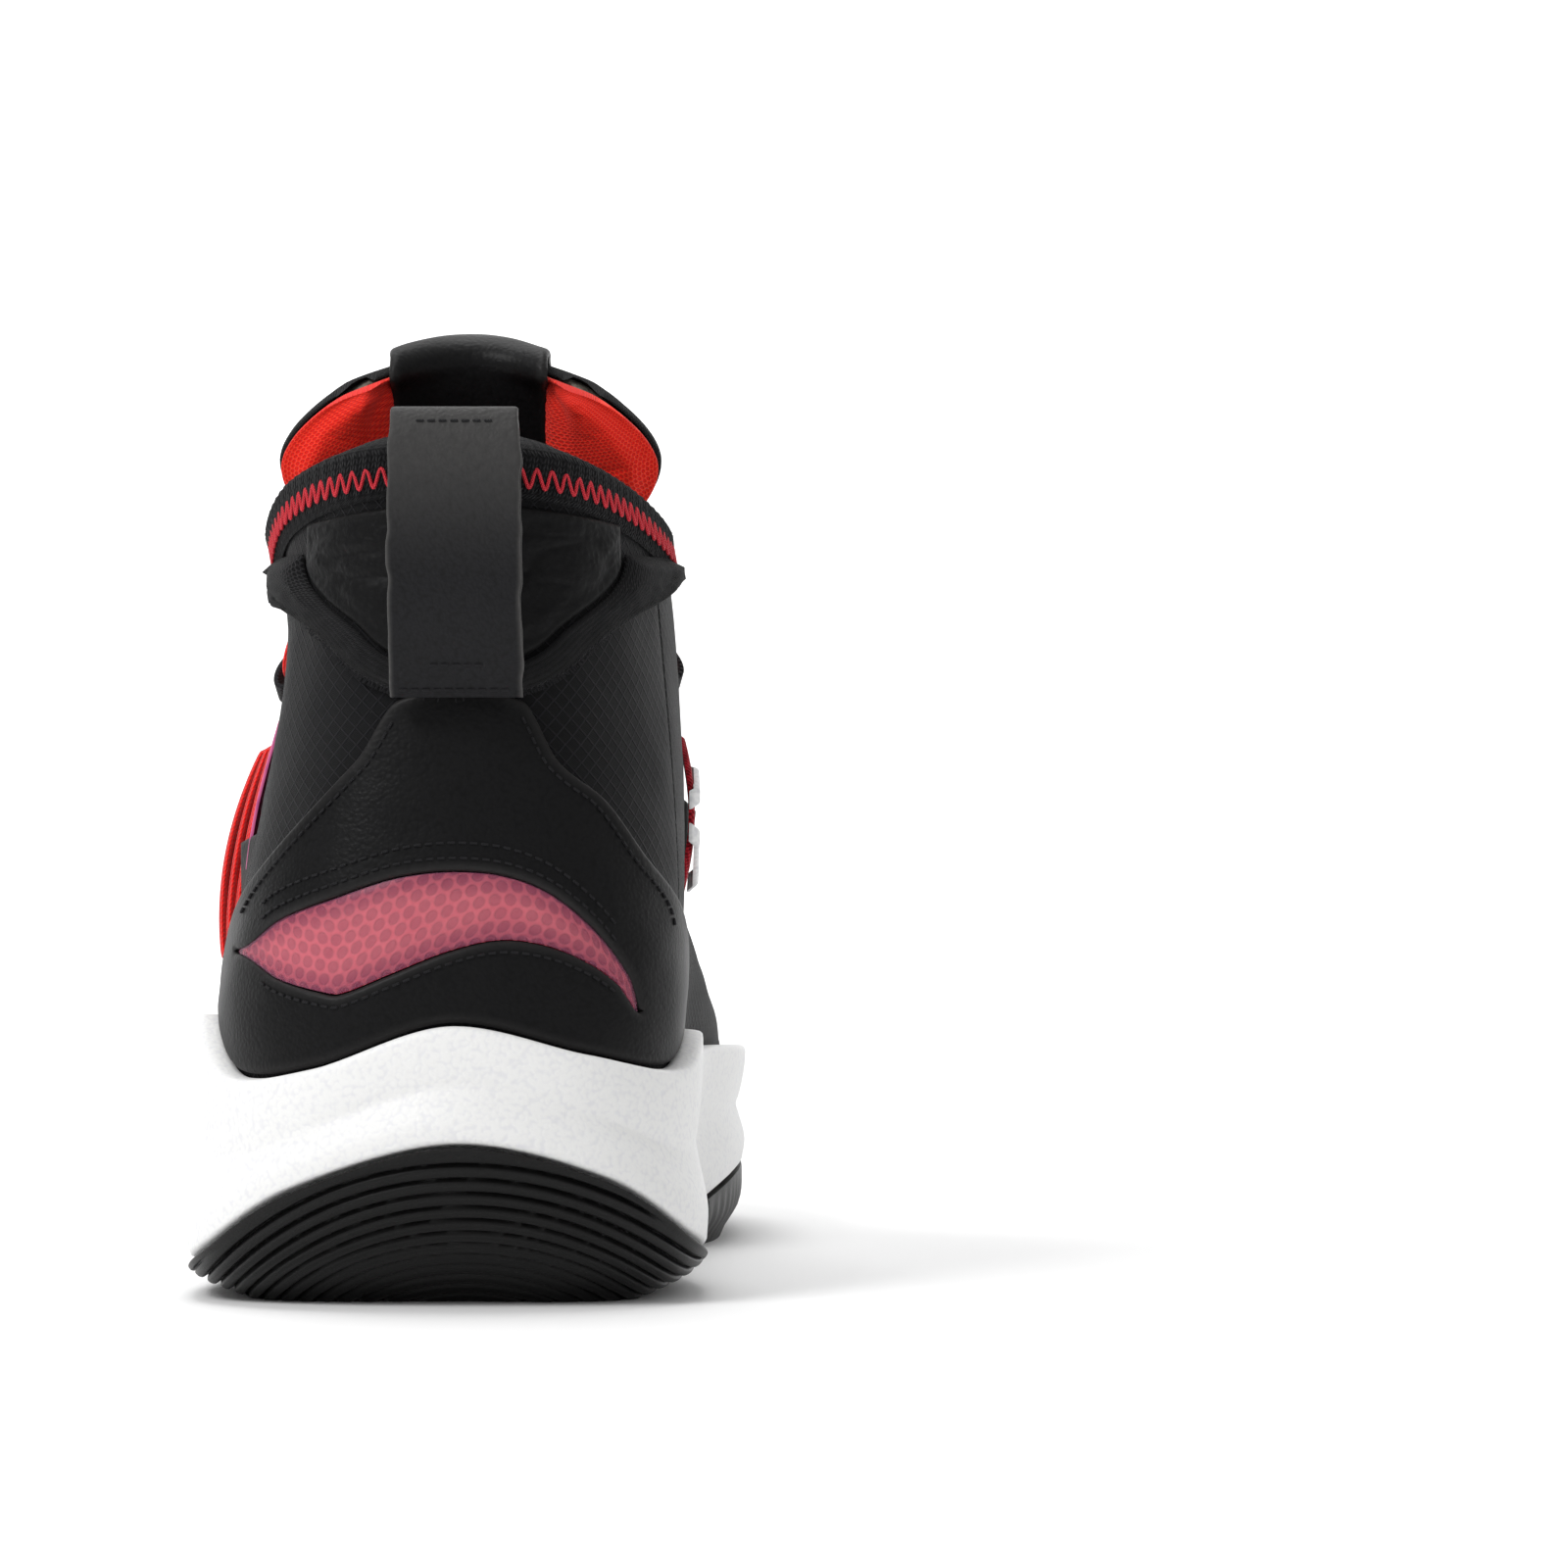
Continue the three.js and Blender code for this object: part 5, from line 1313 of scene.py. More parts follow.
@dataclass
class Shell(Assembly):
    """The outer fabric: heel panel, two quarters and the vamp."""

    seam_gap: float = 0.003
    rear_seam: float = 2.5
    toe_seam: float = 8.0

    def build(self) -> None:
        """Makes the four panels."""
        rear, toe = self.rear_seam, self.toe_seam
        for name, start, end, look, slot in (
                ("heel panel", -rear, rear, Look.RIPSTOP, "ripstop"),
                ("quarter lateral", rear, toe, Look.RIPSTOP, "ripstop"),
                ("quarter medial", mirror(toe), mirror(rear), Look.RIPSTOP, "ripstop"),
                ("vamp", toe, mirror(toe), Look.AIR_MESH, "mesh")):
            part = patch_between(start + self.seam_gap, end - self.seam_gap, lambda s: 0 * s,
                                 lambda s: TOP + 0 * s, int(26 * (end - start)), 70)
            points = LAST.surface(part.station, part.t)
            wrinkle = 0.22 * LUMPS(points * [1, 1, 1.6], 9.0)
            self.place(name, part.cloth(-SHELL, SHELL, wrinkle, radius=0.5), look, slot,
                       [name.replace(" ", "_")])
        t = np.linspace(0.3, 0.93, 160)
        rows = [seam_on(centre + side * 0.045 + 0 * t, t, 0.16, pitch=2.3, thick=0.45)
                for centre in (toe, mirror(toe)) for side in (-1, 1)]
        self.place("shell stitching", Shape.joined(rows), Look.BLACK_THREAD, "ripstop")


# ------ heel, seen from behind
def nearest(points: Array, border: Array) -> Array:
    """Distance of each point of a grid from the nearest of many border points."""
    flat = points.reshape(-1, 3)
    best = np.full(len(flat), np.inf)
    for start in range(0, len(border), 64):
        gap = flat[:, None] - border[None, start:start + 64]
        best = np.minimum(best, np.sqrt((gap ** 2).sum(-1)).min(1))
    return best.reshape(points.shape[:-1])


def inward(line: Array, distance: float) -> Array:
    """A flat line (n, 2) moved to its left by a distance."""
    along = np.gradient(line, axis=0)
    along /= np.maximum(np.linalg.norm(along, axis=1, keepdims=True), 1e-9)
    return line + np.stack([-along[:, 1], along[:, 0]], -1) * distance


@dataclass
class HeelLeather(Assembly):
    """Leather over the heel with a crescent window: net below, milky film above."""

    top: Pairs = ((-3.55, 53), (-3.1, 58.5), (-2.6, 67.5), (-1.7, 80), (-0.82, 97), (-0.5, 107.8),
                  (0.54, 107.8), (0.82, 97), (1.25, 90), (1.7, 79.5), (2.4, 69), (2.9, 58), (3.4, 52))
    window_top: Pairs = ((-38.5, 63), (-30, 68.6), (-22, 72), (-8, 76.6), (6, 77.2), (16.5, 74), (25, 67),
                         (31, 58.5), (33, 52.6))
    window_low: Pairs = ((-38.5, 62.2), (-30, 57.8), (-22, 55.6), (-19, 55.4), (-10, 59), (0, 63), (9, 65),
                         (17, 64), (24, 61), (29, 57.2), (33, 52))
    stitch_inset: float = 2.1

    def opening(self, x: Array) -> tuple[Array, Array]:
        """Heights of the window's lower and upper edge at x, equal beyond its tips."""
        low, high = through(self.window_low, x), through(self.window_top, x)
        return low, np.maximum(high, low)

    def build(self) -> None:
        """Makes the leather in two bands, the window's layers and the stitching."""
        start, end = -3.3, 3.45
        s = lerp(start, end, edge_steps(250, 0.006))
        floor = LAST.above_rim(s)
        roof = np.maximum(floor + 0.02, LAST.at_height(s, through(self.top, -s)))
        x = np.linspace(self.window_top[0][0], self.window_top[-1][0], 400)
        low_line = LAST.from_behind(x, self.opening(x)[0])
        high_line = LAST.from_behind(x, self.opening(x)[1])
        order = np.argsort(low_line[0])
        tips = np.array([low_line[0].min(), low_line[0].max()])
        low_t = np.interp(s, low_line[0][order], low_line[1][order])
        order = np.argsort(high_line[0])
        high_t = np.interp(s, high_line[0][order], high_line[1][order])
        inside = (s > tips[0]) & (s < tips[1])
        middle = np.clip(np.where(inside, low_t, (low_t + high_t) / 2), floor + 0.01, roof - 0.01)
        upper = np.where(inside, np.clip(high_t, middle, roof - 0.01), middle)
        borders = [LAST.surface(s, floor), LAST.surface(s, roof)]
        borders += [LAST.surface(np.full(60, v), np.linspace(f, r, 60)) for v, f, r in
                    ((s[0], floor[0], roof[0]), (s[-1], floor[-1], roof[-1]))]
        window = [LAST.surface(*low_line), LAST.surface(*high_line)]
        bands = []
        for bottom, head in ((floor, middle), (upper, roof)):
            share = edge_steps(34, 0.05)[None, :]
            part = Patch(np.broadcast_to(s[:, None], (len(s), share.shape[1])).copy(),
                         lerp(bottom[:, None], head[:, None], share))
            points = LAST.surface(part.station, part.t)
            far = nearest(points, np.concatenate(borders + window))
            crease = 0.12 * LUMPS(points, 7.0)
            bands.append(part.cloth(GAP, OVERLAY, crease, radius=0.9, distance=far))
        self.place("heel leather", Shape.joined(bands), Look.LEATHER, "leather", ["heel_overlay"], sharp=58)
        self.layer("window net", 0.35, 0.4, Look.WINDOW, "window", "heel_window_mesh", 0.0)
        self.layer("window film", 0.95, 0.3, Look.FILM, "film", "heel_window_film", 0.25)
        self.stitches(s, roof)

    def layer(self, name: str, inner: float, thick: float, look: Look, slot: str, node: str,
              crown: float) -> None:
        """One sheet that fills the window, tucked just inside its edges.

        Args:
            name, look, slot, node: what it is called, made of and stands for.
            inner, thick: offset of its inner face and its thickness, mm.
            crown: how far its middle is lifted, mm.
        """
        x = np.linspace(self.window_top[0][0] + 0.6, self.window_top[-1][0] - 0.6, 130)[:, None]
        low, high = self.opening(x)
        share = np.linspace(0.02, 0.98, 26)[None, :]
        part = patch_behind(np.broadcast_to(x, (130, 26)), lerp(low, high, share))
        far = part.border_distance()
        puff = crown * smooth(far / 5) + 0.1 * LUMPS(LAST.surface(part.station, part.t), 5.0)
        sheet = part.cloth(inner, thick, puff)
        sheet.wear = np.tile(np.clip(1 - far / 4.5, 0, 1).ravel(), 2)
        self.place(name, sheet, look, slot, [node])

    def stitches(self, s: Array, roof: Array) -> None:
        """Black thread just inside the leather's border and round the window.

        Args:
            s, roof: stations along the leather's upper border, and t there.
        """
        edge = LAST.surface(s, roof)[:, [0, 2]]
        keep = (edge[:, 1] > 62) & (edge[:, 1] < 106) & (np.abs(s) < 2.5)
        inset = self.stitch_inset
        rows = [inward(edge[keep & (s > 0)], inset), inward(edge[keep & (s < 0)], inset)]
        x = np.linspace(-33, 28, 160)
        low, high = self.opening(x)
        rows += [np.stack([x, z], -1) for z in (high + inset, high + 2 * inset + 0.6, low - inset)]
        shapes = []
        for row in rows:
            place = LAST.from_behind(row[:, 0], row[:, 1])
            shapes.append(seam_on(*place, GAP + OVERLAY + 0.16, pitch=2.0, length=1.4, thick=0.5))
        self.place("heel stitching", Shape.joined(shapes), Look.BLACK_THREAD, "leather")


# ------ ankle
@dataclass
class AnkleTrim(Assembly):
    """Soft panel behind the ankle, its raw mesh binding, and the knitted collar with red thread."""

    width: float = 5.2
    top: float = 134.6
    depth: float = 21.6
    centre: float = 1.5
    inner: float = 0.6
    thick: float = 1.1
    band: float = 8.0
    zigzag_pitch: float = 3.1
    zigzag_reach: float = 1.7
    end_lift: float = 1.7
    threads: int = 170

    def reach(self, s: Array) -> Array:
        """Width of the binding, larger towards its two ends."""
        return self.width + 3.5 * smooth((np.abs(s) - 0.7) / 0.3)

    def line(self, s: Array, out: Array) -> tuple[Array, Array]:
        """U-shaped line round the panel: powers of a sine and a cosine of the same angle.

        Args:
            s: place along it, from -1 on the outer side to 1.
            out: distance outwards, mm.

        Returns:
            x and height, seen from behind.
        """
        turn = np.pi / 2 * s
        reach = 21 + 7.5 * smooth((np.abs(s) - 0.55) / 0.45) + out
        x = np.sign(s) * reach * np.abs(np.sin(turn)) ** 0.8 + self.centre
        return x, self.top - (self.depth + out * 0.95) * np.maximum(0, np.cos(turn)) ** 0.75

    def build(self) -> None:
        """Makes the binding with its fringe, the panel, the collar and its thread."""
        s = np.linspace(-1, 1, 150)[:, None]
        out = edge_steps(8, 0.1)[None, :] * self.reach(s)
        band = patch_behind(*self.line(s, out))
        frayed = 0.45 * LUMPS(LAST.surface(band.station, band.t), 1.6)
        frayed = frayed + self.end_lift * smooth((np.abs(s) - 0.7) / 0.2)
        self.place("ankle binding", band.cloth(self.inner, self.thick, frayed, radius=0.7), Look.BINDING,
                   "mesh", ["mesh_binding"])
        self.fringe()
        self.panel()
        self.collar()

    def fringe(self) -> None:
        """Short cut threads along the binding's outer edge."""
        random, count = np.random.default_rng(5), self.threads
        s = np.linspace(-0.74, 0.74, count) + random.uniform(-0.004, 0.004, count)
        far = self.reach(s)
        inside, outside = (LAST.from_behind(*self.line(s, far - d)) for d in (1.2, 0.0))
        offset = self.inner + self.thick * random.uniform(0.3, 0.9, count)
        start, end = LAST.point(*inside, offset), LAST.point(*outside, offset)
        along = unit(end - start) + random.normal(0, 0.18, (count, 3))
        fibres = capsules(end, along, LAST.normal(*outside), 1.5, 0.34, 5)
        self.place("binding fringe", fibres, Look.BLACK_THREAD, "mesh")

    def panel(self) -> None:
        """Soft leather panel: full in the middle, pulled in at its border, creased by wear."""
        a = edge_steps(90, 0.02)[:, None]
        x, floor = self.line(lerp(-0.97, 0.97, a), -0.9)
        b = edge_steps(70, 0.03)[None, :]
        z = lerp(floor, 143.0 - 0.004 * (x - self.centre) ** 2, b)
        part = patch_behind(np.broadcast_to(x, z.shape), z)
        points = LAST.surface(part.station, part.t)
        far = part.border_distance()
        fold = 1 - np.abs(LUMPS(points * [0.7, 0.7, 1.6] + 40, 9.0))
        crinkle = 1 - np.abs(LUMPS(points * [0.9, 1, 1.4] + 70, 4.2))
        relief = 0.8 * smooth(far / 6) - (0.7 * fold ** 4 + 0.22 * crinkle ** 3) * smooth(far / 4)
        self.place("ankle panel", part.cloth(0.2, 1.2, relief, radius=1.4), Look.SOFT_LEATHER,
                   "leather", ["achilles_panel"], sharp=75)

    def collar(self) -> None:
        """Knitted band folded over the collar's edge, with a wavy red thread near its top."""
        s = np.linspace(-4, 4, 260)
        tall = np.linalg.norm(LAST.surface(s, 1) - LAST.surface(s, 0.9), axis=1) * 10
        drop = self.band / tall
        rise = unit(LAST.surface(s, 1) - LAST.surface(s, 0.97))
        inner = lining_inner(s, np.full_like(s, TOP)) - GAP - 0.2
        edge, low = np.full_like(s, 0.995), 1 - drop
        knots = ((low, 0.2, 0), (low, 0.5, 0), (1 - drop * 0.8, 0.8, 0), (1 - drop / 2, 1.1, 0),
                 (1 - drop / 4, 1.25, 0), (edge, 1.2, 1), (edge, 0.6, 2.1), (edge, -1.2, 2.6),
                 (edge, (inner - GAP) / 2, 2.9), (edge, inner + 0.6, 2.4), (edge, inner - 1.1, 0.6),
                 (1 - drop / 2, inner - 1.15, 0), (low, inner - 1, 0), (low, inner, 0), (edge, inner, 0),
                 (edge, inner + 0.3, 0.9), (edge, -0.3, 0.9), (edge, 0.5, 0.2))
        section = np.stack([LAST.point(s, t, np.zeros_like(s) + off) + rise * up for t, off, up in knots], 1)
        ribs = 0.14 * np.sin(2 * np.pi * np.arange(len(s)) / 4)
        section[:, 2:11] += LAST.normal(s, low)[:, None] * ribs[:, None, None]
        uv = np.stack([lengths(section, axis)[0] for axis in (0, 1)], -1).reshape(-1, 2) * MM
        band = Shape(section.reshape(-1, 3), tube_faces(*section.shape[:2]), uv)
        self.place("collar band", band, Look.KNIT, "knit", ["collar_band"], sharp=65)
        self.zigzag(drop, s)

    def zigzag(self, drop: Array, s: Array) -> None:
        """Red thread that waves along the band as a sine of the distance run.

        Args:
            drop: how far the band reaches down, in t.
            s: the stations it is given at.
        """
        long = np.linspace(-3.9, 3.9, 2600)
        run = run_along(LAST.surface(long, 0.97))
        wave = np.sin(2 * np.pi * run / self.zigzag_pitch)
        share = 0.47 + wave * self.zigzag_reach / self.band
        t = 1 - np.interp(long, s, drop) * share
        line = LAST.point(long, t, 1.3 + 0.15 * wave)
        across, out = directions(line, LAST.normal(long, t))
        thread = sweep(line, across, out, oval(0.72, 0.62, 6))
        self.place("collar zigzag thread", thread, Look.RED_THREAD, "knit")


# ------ side trims
@dataclass
class SideTrim(Assembly):
    """Eyestays, toe leather, film wing, webbing, bars and folded tabs."""

    eyestay: tuple[float, float] = (4.5, 8.5)
    toe_cap_start: float = 8.75
    medial_centre: float = COUNT - 4.1

    def leather(self, name: str, node: str, part: Patch, layer: tuple[float, float] = LEATHER_LAYER,
                lift: Array | float = 0.0, look: Look = Look.LEATHER, slot: str = "leather",
                thick: float = OVERLAY) -> None:
        """One flat piece sewn on the shell.

        Args:
            name, node: what it is called, and the CAD node it stands for.
            part: its patch of the upper.
            layer: offsets it lies between.
            lift: further offset of its points.
            look, slot: its finish and the record's material slot.
            thick: its thickness, mm.
        """
        crease = 0.1 * LUMPS(LAST.surface(part.station, part.t), 8.0)
        sheet = part.cloth(layer[0] + np.asarray(lift), thick, crease, radius=0.8)
        self.place(name, sheet, look, slot, [node])

    @staticmethod
    def strip(low: float, high: float, centre: Curve, half: Curve, columns: int,
              rows: int) -> tuple[Patch, Array, Array]:
        """Strip of the side wall.

        Args:
            low, high: t of its ends.
            centre, half: its middle and half its width, in stations, at a share of its height.
            columns, rows: steps across and up.

        Returns:
            The patch, and the shares across and up of its points.
        """
        a, b = np.meshgrid(edge_steps(columns, 0.06), edge_steps(rows, 0.03), indexing="ij")
        return Patch(centre(b) + (2 * a - 1) * half(b), lerp(low, high, b)), a, b

    def build(self) -> None:
        """Makes every trim of the two sides."""
        low = lambda s: through([(4.5, 0.85), (5, 0.8), (6.5, 0.77), (8.5, 0.76)], to_side(s))
        top = lambda s: TOP + 0 * s
        layer = (0.6, 0.6 + OVERLAY)
        stitches = []
        inner_side = (mirror(self.eyestay[1]), mirror(self.eyestay[0]))
        for name, (start, end) in (("lateral", self.eyestay), ("medial", inner_side)):
            part = patch_between(start, end, low, top, 150, 20)
            self.leather(f"eyestay {name}", f"eyestay_{name}", part, layer)
            s = np.linspace(start + 0.05, end - 0.05, 200)
            stitches.append(seam_on(s, low(s) + 0.022, layer[1] + 0.12, thick=0.5))
        start, end = self.toe_cap_start, mirror(self.toe_cap_start)
        cap = lambda s: 0.36 + 0.14 * np.sin(np.pi * (s - start) / (end - start))
        self.leather("toe cap", "toe_cap", patch_between(start, end, LAST.above_rim, cap, 170, 40))
        self.leather("throat patch", "throat_patch",
                     patch_between(8.6, mirror(8.6), lambda s: 0.8 + 0 * s, top, 90, 30))
        s = np.linspace(start + 0.1, end - 0.1, 300)
        for inset in (0.022, 0.05):
            stitches.append(seam_on(s, cap(s) - inset, LEATHER_LAYER[1] + 0.12, thick=0.5))
        self.place("side stitching", Shape.joined(stitches), Look.BLACK_THREAD, "leather")
        self.sides()

    def sides(self) -> None:
        """Webbing, film wing, bars and tabs."""
        strands = []
        for k in range(4):
            t = np.linspace(0.34, 0.755, 90)
            share = (t - t[0]) / (t[-1] - t[0])
            station = 4.5 + 0.09 * k + 0.1 * share + 0.02 * np.sin(7 * share + k)
            lift = 1.0 + 1.65 * k * np.sin(np.pi * (0.1 + 0.8 * share)) ** 0.6
            lift = lerp(-1.6, lift, smooth(np.minimum(share, 1 - share) / 0.07))
            line = LAST.point(station, t, lift)
            strands.append(sweep(line, *directions(line, LAST.normal(station, t)), oval(3.0, 1.7, 12)))
        self.place("webbing lateral", Shape.joined(strands), Look.LACE, "webbing", ["webbing_lateral"],
                   sharp=80)
        part, a, b = self.strip(0.48, 0.74, lambda b: 4.42 - 0.1 * b, lambda b: 0.17 - 0.05 * b, 20, 50)
        flare = 1.4 * (1 - a) * np.sin(np.pi * (0.2 + 0.75 * b)) - 0.9
        self.leather("film wing lateral", "film_wing_lateral", part, SECOND_LAYER, flare, Look.WING_FILM,
                     "film", 0.7)
        part, a, b = self.strip(0.4, 0.54, lambda b: 4.27 + 0 * b, lambda b: 0.14 + 0.05 * b, 14, 24)
        self.leather("tab lateral", "tab_lateral", part, lift=3 * b * a)
        centre = self.medial_centre
        lens = lambda b: 0.02 + 0.15 * np.sin(np.pi * b)
        part, _, b = self.strip(0.42, 0.68, lambda b: centre + 0 * b, lens, 16, 50)
        self.leather("webbing medial", "webbing_medial", part, lift=1.6 * np.sin(np.pi * b),
                     look=Look.WEBBING, slot="webbing")
        for name, t, tilt in (("upper", 0.6, 0.07), ("lower", 0.485, -0.06)):
            a, b = np.meshgrid(edge_steps(40, 0.05), edge_steps(8, 0.2), indexing="ij")
            bar = Patch(centre + lerp(0.26, -0.3, a), t + tilt * (a - 0.5) + 0.028 * (b - 0.5))
            lift = 1.1 * smooth(a * 8) * smooth((1 - a) * 8)
            self.leather(f"bar medial {name}", f"bar_medial_{name}", bar, SECOND_LAYER, lift, Look.BAR,
                         "white", 1.1)
        part, a, b = self.strip(0.5, 0.6, lambda b: mirror(4.62) + 0 * b, lambda b: 0.12 + 0 * b, 12, 20)
        self.leather("tab medial", "tab_medial", part, lift=2 * b * (1 - a))


# ------ tongue
def swell(piece: bpy.types.Object, held: Array, limit: float, pressure: float = 260.0) -> None:
    """Fills a sewn piece by a short cloth simulation and keeps the shape it takes.

    Args:
        piece: closed mesh at the origin.
        held: which of its points are sewn down.
        limit: largest move kept, mm.
        pressure: how hard it is filled.
    """
    piece.vertex_groups.new(name="held").add(np.flatnonzero(held).tolist(), 1.0, "REPLACE")
    cloth = piece.modifiers.new("swell", "CLOTH")
    cloth.settings.use_pressure = True
    cloth.settings.uniform_pressure_force = pressure
    cloth.settings.effector_weights.gravity = 0
    cloth.settings.vertex_group_mass = "held"
    cloth.settings.quality = 8
    start = np.zeros(3 * len(piece.data.vertices), np.float32)
    piece.data.vertices.foreach_get("co", start)
    for step in range(1, 21):
        bpy.context.scene.frame_set(step)
    blown = piece.evaluated_get(bpy.context.evaluated_depsgraph_get())
    end = np.zeros_like(start)
    blown.data.vertices.foreach_get("co", end)
    piece.modifiers.remove(cloth)
    bpy.context.scene.frame_set(1)
    move = (end - start).reshape(-1, 3)
    far = np.linalg.norm(move, axis=1, keepdims=True)
    kept = start.reshape(-1, 3) + move * limit * MM * np.tanh(far / (limit * MM)) / np.maximum(far, 1e-9)
    piece.data.vertices.foreach_set("co", kept.astype(np.float32).ravel())
    piece.data.update()
    LOG.info("%s swelled by up to %.1f mm", piece.name, 1000 * far.max())


@dataclass
class Tongue(Assembly):
    """Knit outside, foam, red mesh inside and a leather pull tab over the free end."""

    spine: Pairs = ((232, 50), (214, 56.5), (192, 65), (166, 79), (140, 97.5), (120, 115), (110.5, 131),
                    (104, 150), (97.5, 166), (93, 176))
    half_width: Pairs = ((0, 15), (0.3, 19), (0.55, 20.5), (0.68, 20.5), (0.73, 23), (0.79, 33), (0.84, 36),
                         (0.889, 33), (0.955, 25), (1, 17.5))
    dish: Pairs = ((0, 5), (0.3, 7), (0.6, 6.5), (0.7, 7), (0.8, 11), (1, 12))
    hinge: float = 0.655
    tip: float = 0.985
    tab_width: float = 29.6

    def point(self, along: Array, across: Array, depth: Array) -> Array:
        """Point of the tongue: its spine, widened across, dished by the square of the way across.

        Args:
            along: share of the way from vamp to tip.
            across: from -1 on the outer side to 1.
            depth: distance in from the outer face, mm.

        Returns:
            Points in mm.
        """
        along, across, depth = np.broadcast_arrays(along, across, np.asarray(depth, float))
        line = np.array([(0, y, z) for y, z in self.spine], float)
        knots = spline(line, along.ravel()).reshape(along.shape + (3,))
        step = 0.004
        tangent = (spline(line, (along + step).clip(0, 1).ravel())
                   - spline(line, (along - step).clip(0, 1).ravel())).reshape(knots.shape)
        into = unit(np.stack([0 * along, -tangent[..., 2], tangent[..., 1]], -1))
        into = np.where(into[..., 1:2] > 0, -into, into)
        knots[..., 0] = across * through(self.half_width, along) + 0.4
        return knots + into * (through(self.dish, along) * across ** 2 + depth)[..., None]

    def layer(self, start: float, end: float, half: float, front: float, back: float, puff: float = 0.0,
              lobes: bool = False, columns: int = 60, rows: int = 60, lip: float = 0.0) -> Shape:
        """Sheet of the tongue between two depths, its corners rounded off at the free end.

        Args:
            start, end: limits along the tongue.
            half: half width as a share of the tongue's.
            front, back: depths of its two faces.
            puff: how far the middle swells.
            lobes: whether the swelling is two lobes beside a pressed middle.
            columns, rows: steps along and across.
            lip: how much deeper the back face turns in at the border.

        Returns:
            The sheet, front face first.
        """
        a = edge_steps(columns, 0.02)[:, None]
        b = edge_steps(rows, 0.02)[None, :]
        along = lerp(start, end, a)
        side = lerp(-half, half, b)
        rounding = np.where(end > 0.9, smooth((along - 0.9) / (end - 0.9)), 0.0)
        side = side * (1 - 0.1 * rounding ** 3)
        reach = through(self.half_width, along)
        edge = np.minimum((half - np.abs(side)) * reach, np.minimum(a, 1 - a) * (end - start) * 170)
        back = back + lip * (1 - smooth((edge - 0.7) / 0.9))
        thick = np.abs(back - front)
        rounded = round_over(np.maximum(edge, 0), np.maximum(1.2, thick / 2), 0.15)
        middle = (front + back) / 2
        shape = smooth(edge / 7)
        if lobes:
            shape = shape * (0.05 + 0.95 * smooth((np.abs(side) * reach - 14) / 6))
        swelling = puff * shape + 0.25 * LUMPS(self.point(along, side, 0), 6.0) * smooth(edge / 4)
        outer = self.point(along, side, middle + (front - middle) * rounded)
        return slab(outer, self.point(along, side, middle + (back - middle) * rounded + swelling))

    def build(self) -> None:
        """Makes the fixed lower half, the free flap and its tab."""
        low, high = self.hinge - 0.006, self.hinge + 0.006
        self.place("tongue base", self.layer(0, low, 1, 0, 2.2), Look.TONGUE_KNIT, "knit", ["tongue_base"])
        self.place("tongue base lining", self.layer(0, low, 0.96, 2.6, 4.3), Look.RED_MESH, "red",
                   ["tongue_base_lining"])
        root, away = (self.point(np.array(self.hinge + step), np.array(0.0), 3.0) * MM + SHIFT
                      for step in (-0.03, 0.07))
        cover = self.place("tongue cover", self.layer(high, self.tip, 1, 0, 1.5, lip=4.6), Look.TONGUE_KNIT,
                           "knit", ["tongue_cover"], None)
        foam = self.place("tongue foam", self.layer(high, self.tip - 0.02, 0.9, 1.9, 6.4), Look.PADDING,
                          "padding", ["tongue_foam"], None)
        sheet = self.layer(high, self.tip + 0.004, 0.985, 6.4, 8.6, 7.4, True, 80, 90)
        lining = self.place("tongue lining", sheet, Look.RED_MESH, "red", ["tongue_lining"], None)
        swell(lining, self.held(sheet), 2.6)
        for piece in (cover, foam, lining):
            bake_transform(piece)
        self.tab()

    def held(self, sheet: Shape) -> Array:
        """Which points of the lining are sewn down.

        Args:
            sheet: the lining before it swells.

        Returns:
            True for its front face, and for its back face at the border and under the tab.
        """
        size = len(sheet.points) // 2
        front, back = sheet.points[:size], sheet.points[size:]
        thick = np.linalg.norm(front - back, axis=1)
        sewn = (thick < 2.4) | (np.abs(front[:, 0] - 0.4) < self.tab_width / 2 - 2)
        return np.concatenate([np.ones(size, bool), sewn])

    def tab(self) -> None:
        """Leather strip folded over the free end: its path is along, depth and lift past the tip."""
        path = np.array([(0.74, 9.6, 0), (0.78, 9.9, 0), (0.82, 9.9, 0), (0.88, 9.9, 0), (0.95, 9.7, 0),
                         (0.99, 9.1, 0.4), (0.999, 8.0, 1.4), (0.999, 6.2, 2.2), (0.999, 4.5, 2.4),
                         (0.999, 2.4, 2.1), (0.999, 0.8, 1.3), (0.99, -0.3, 0.4), (0.97, -0.6, 0),
                         (0.93, -0.6, 0)])
        share = edge_steps(70, 0.03)
        middle = spline(path, share)
        across = edge_steps(30, 0.05)
        half = self.tab_width / 2
        along = middle[:, 0].clip(0, 0.999)[:, None]
        reach = through(self.half_width, along)
        side = (2 * across[None, :] - 1) * half / reach
        base = self.point(along, side, middle[:, 1:2] + 0 * side)
        zero = np.array(0.0)
        lift = self.point(np.array(0.999), zero, 0.0) - self.point(np.array(0.96), zero, 0.0)
        base = base + unit(lift)[None, None] * middle[:, 2][:, None, None]
        normal = unit(np.cross(np.gradient(base, axis=0), np.gradient(base, axis=1)))
        centre = self.point(np.array(0.95), zero, 4.0)
        flip = np.sign((normal * (base - centre)).sum(-1).mean())
        distance = np.minimum(np.minimum(across, 1 - across)[None, :] * self.tab_width,
                              np.minimum(share, 1 - share)[:, None] * 70)
        thick = 1.3 * round_over(distance, 0.9)
        relief = 0.14 * LUMPS(base, 5.0) * smooth(distance / 2)
        outer = base + normal * flip * (thick + relief)[..., None]
        wear = np.clip(1 - distance / 1.2, 0, 1)
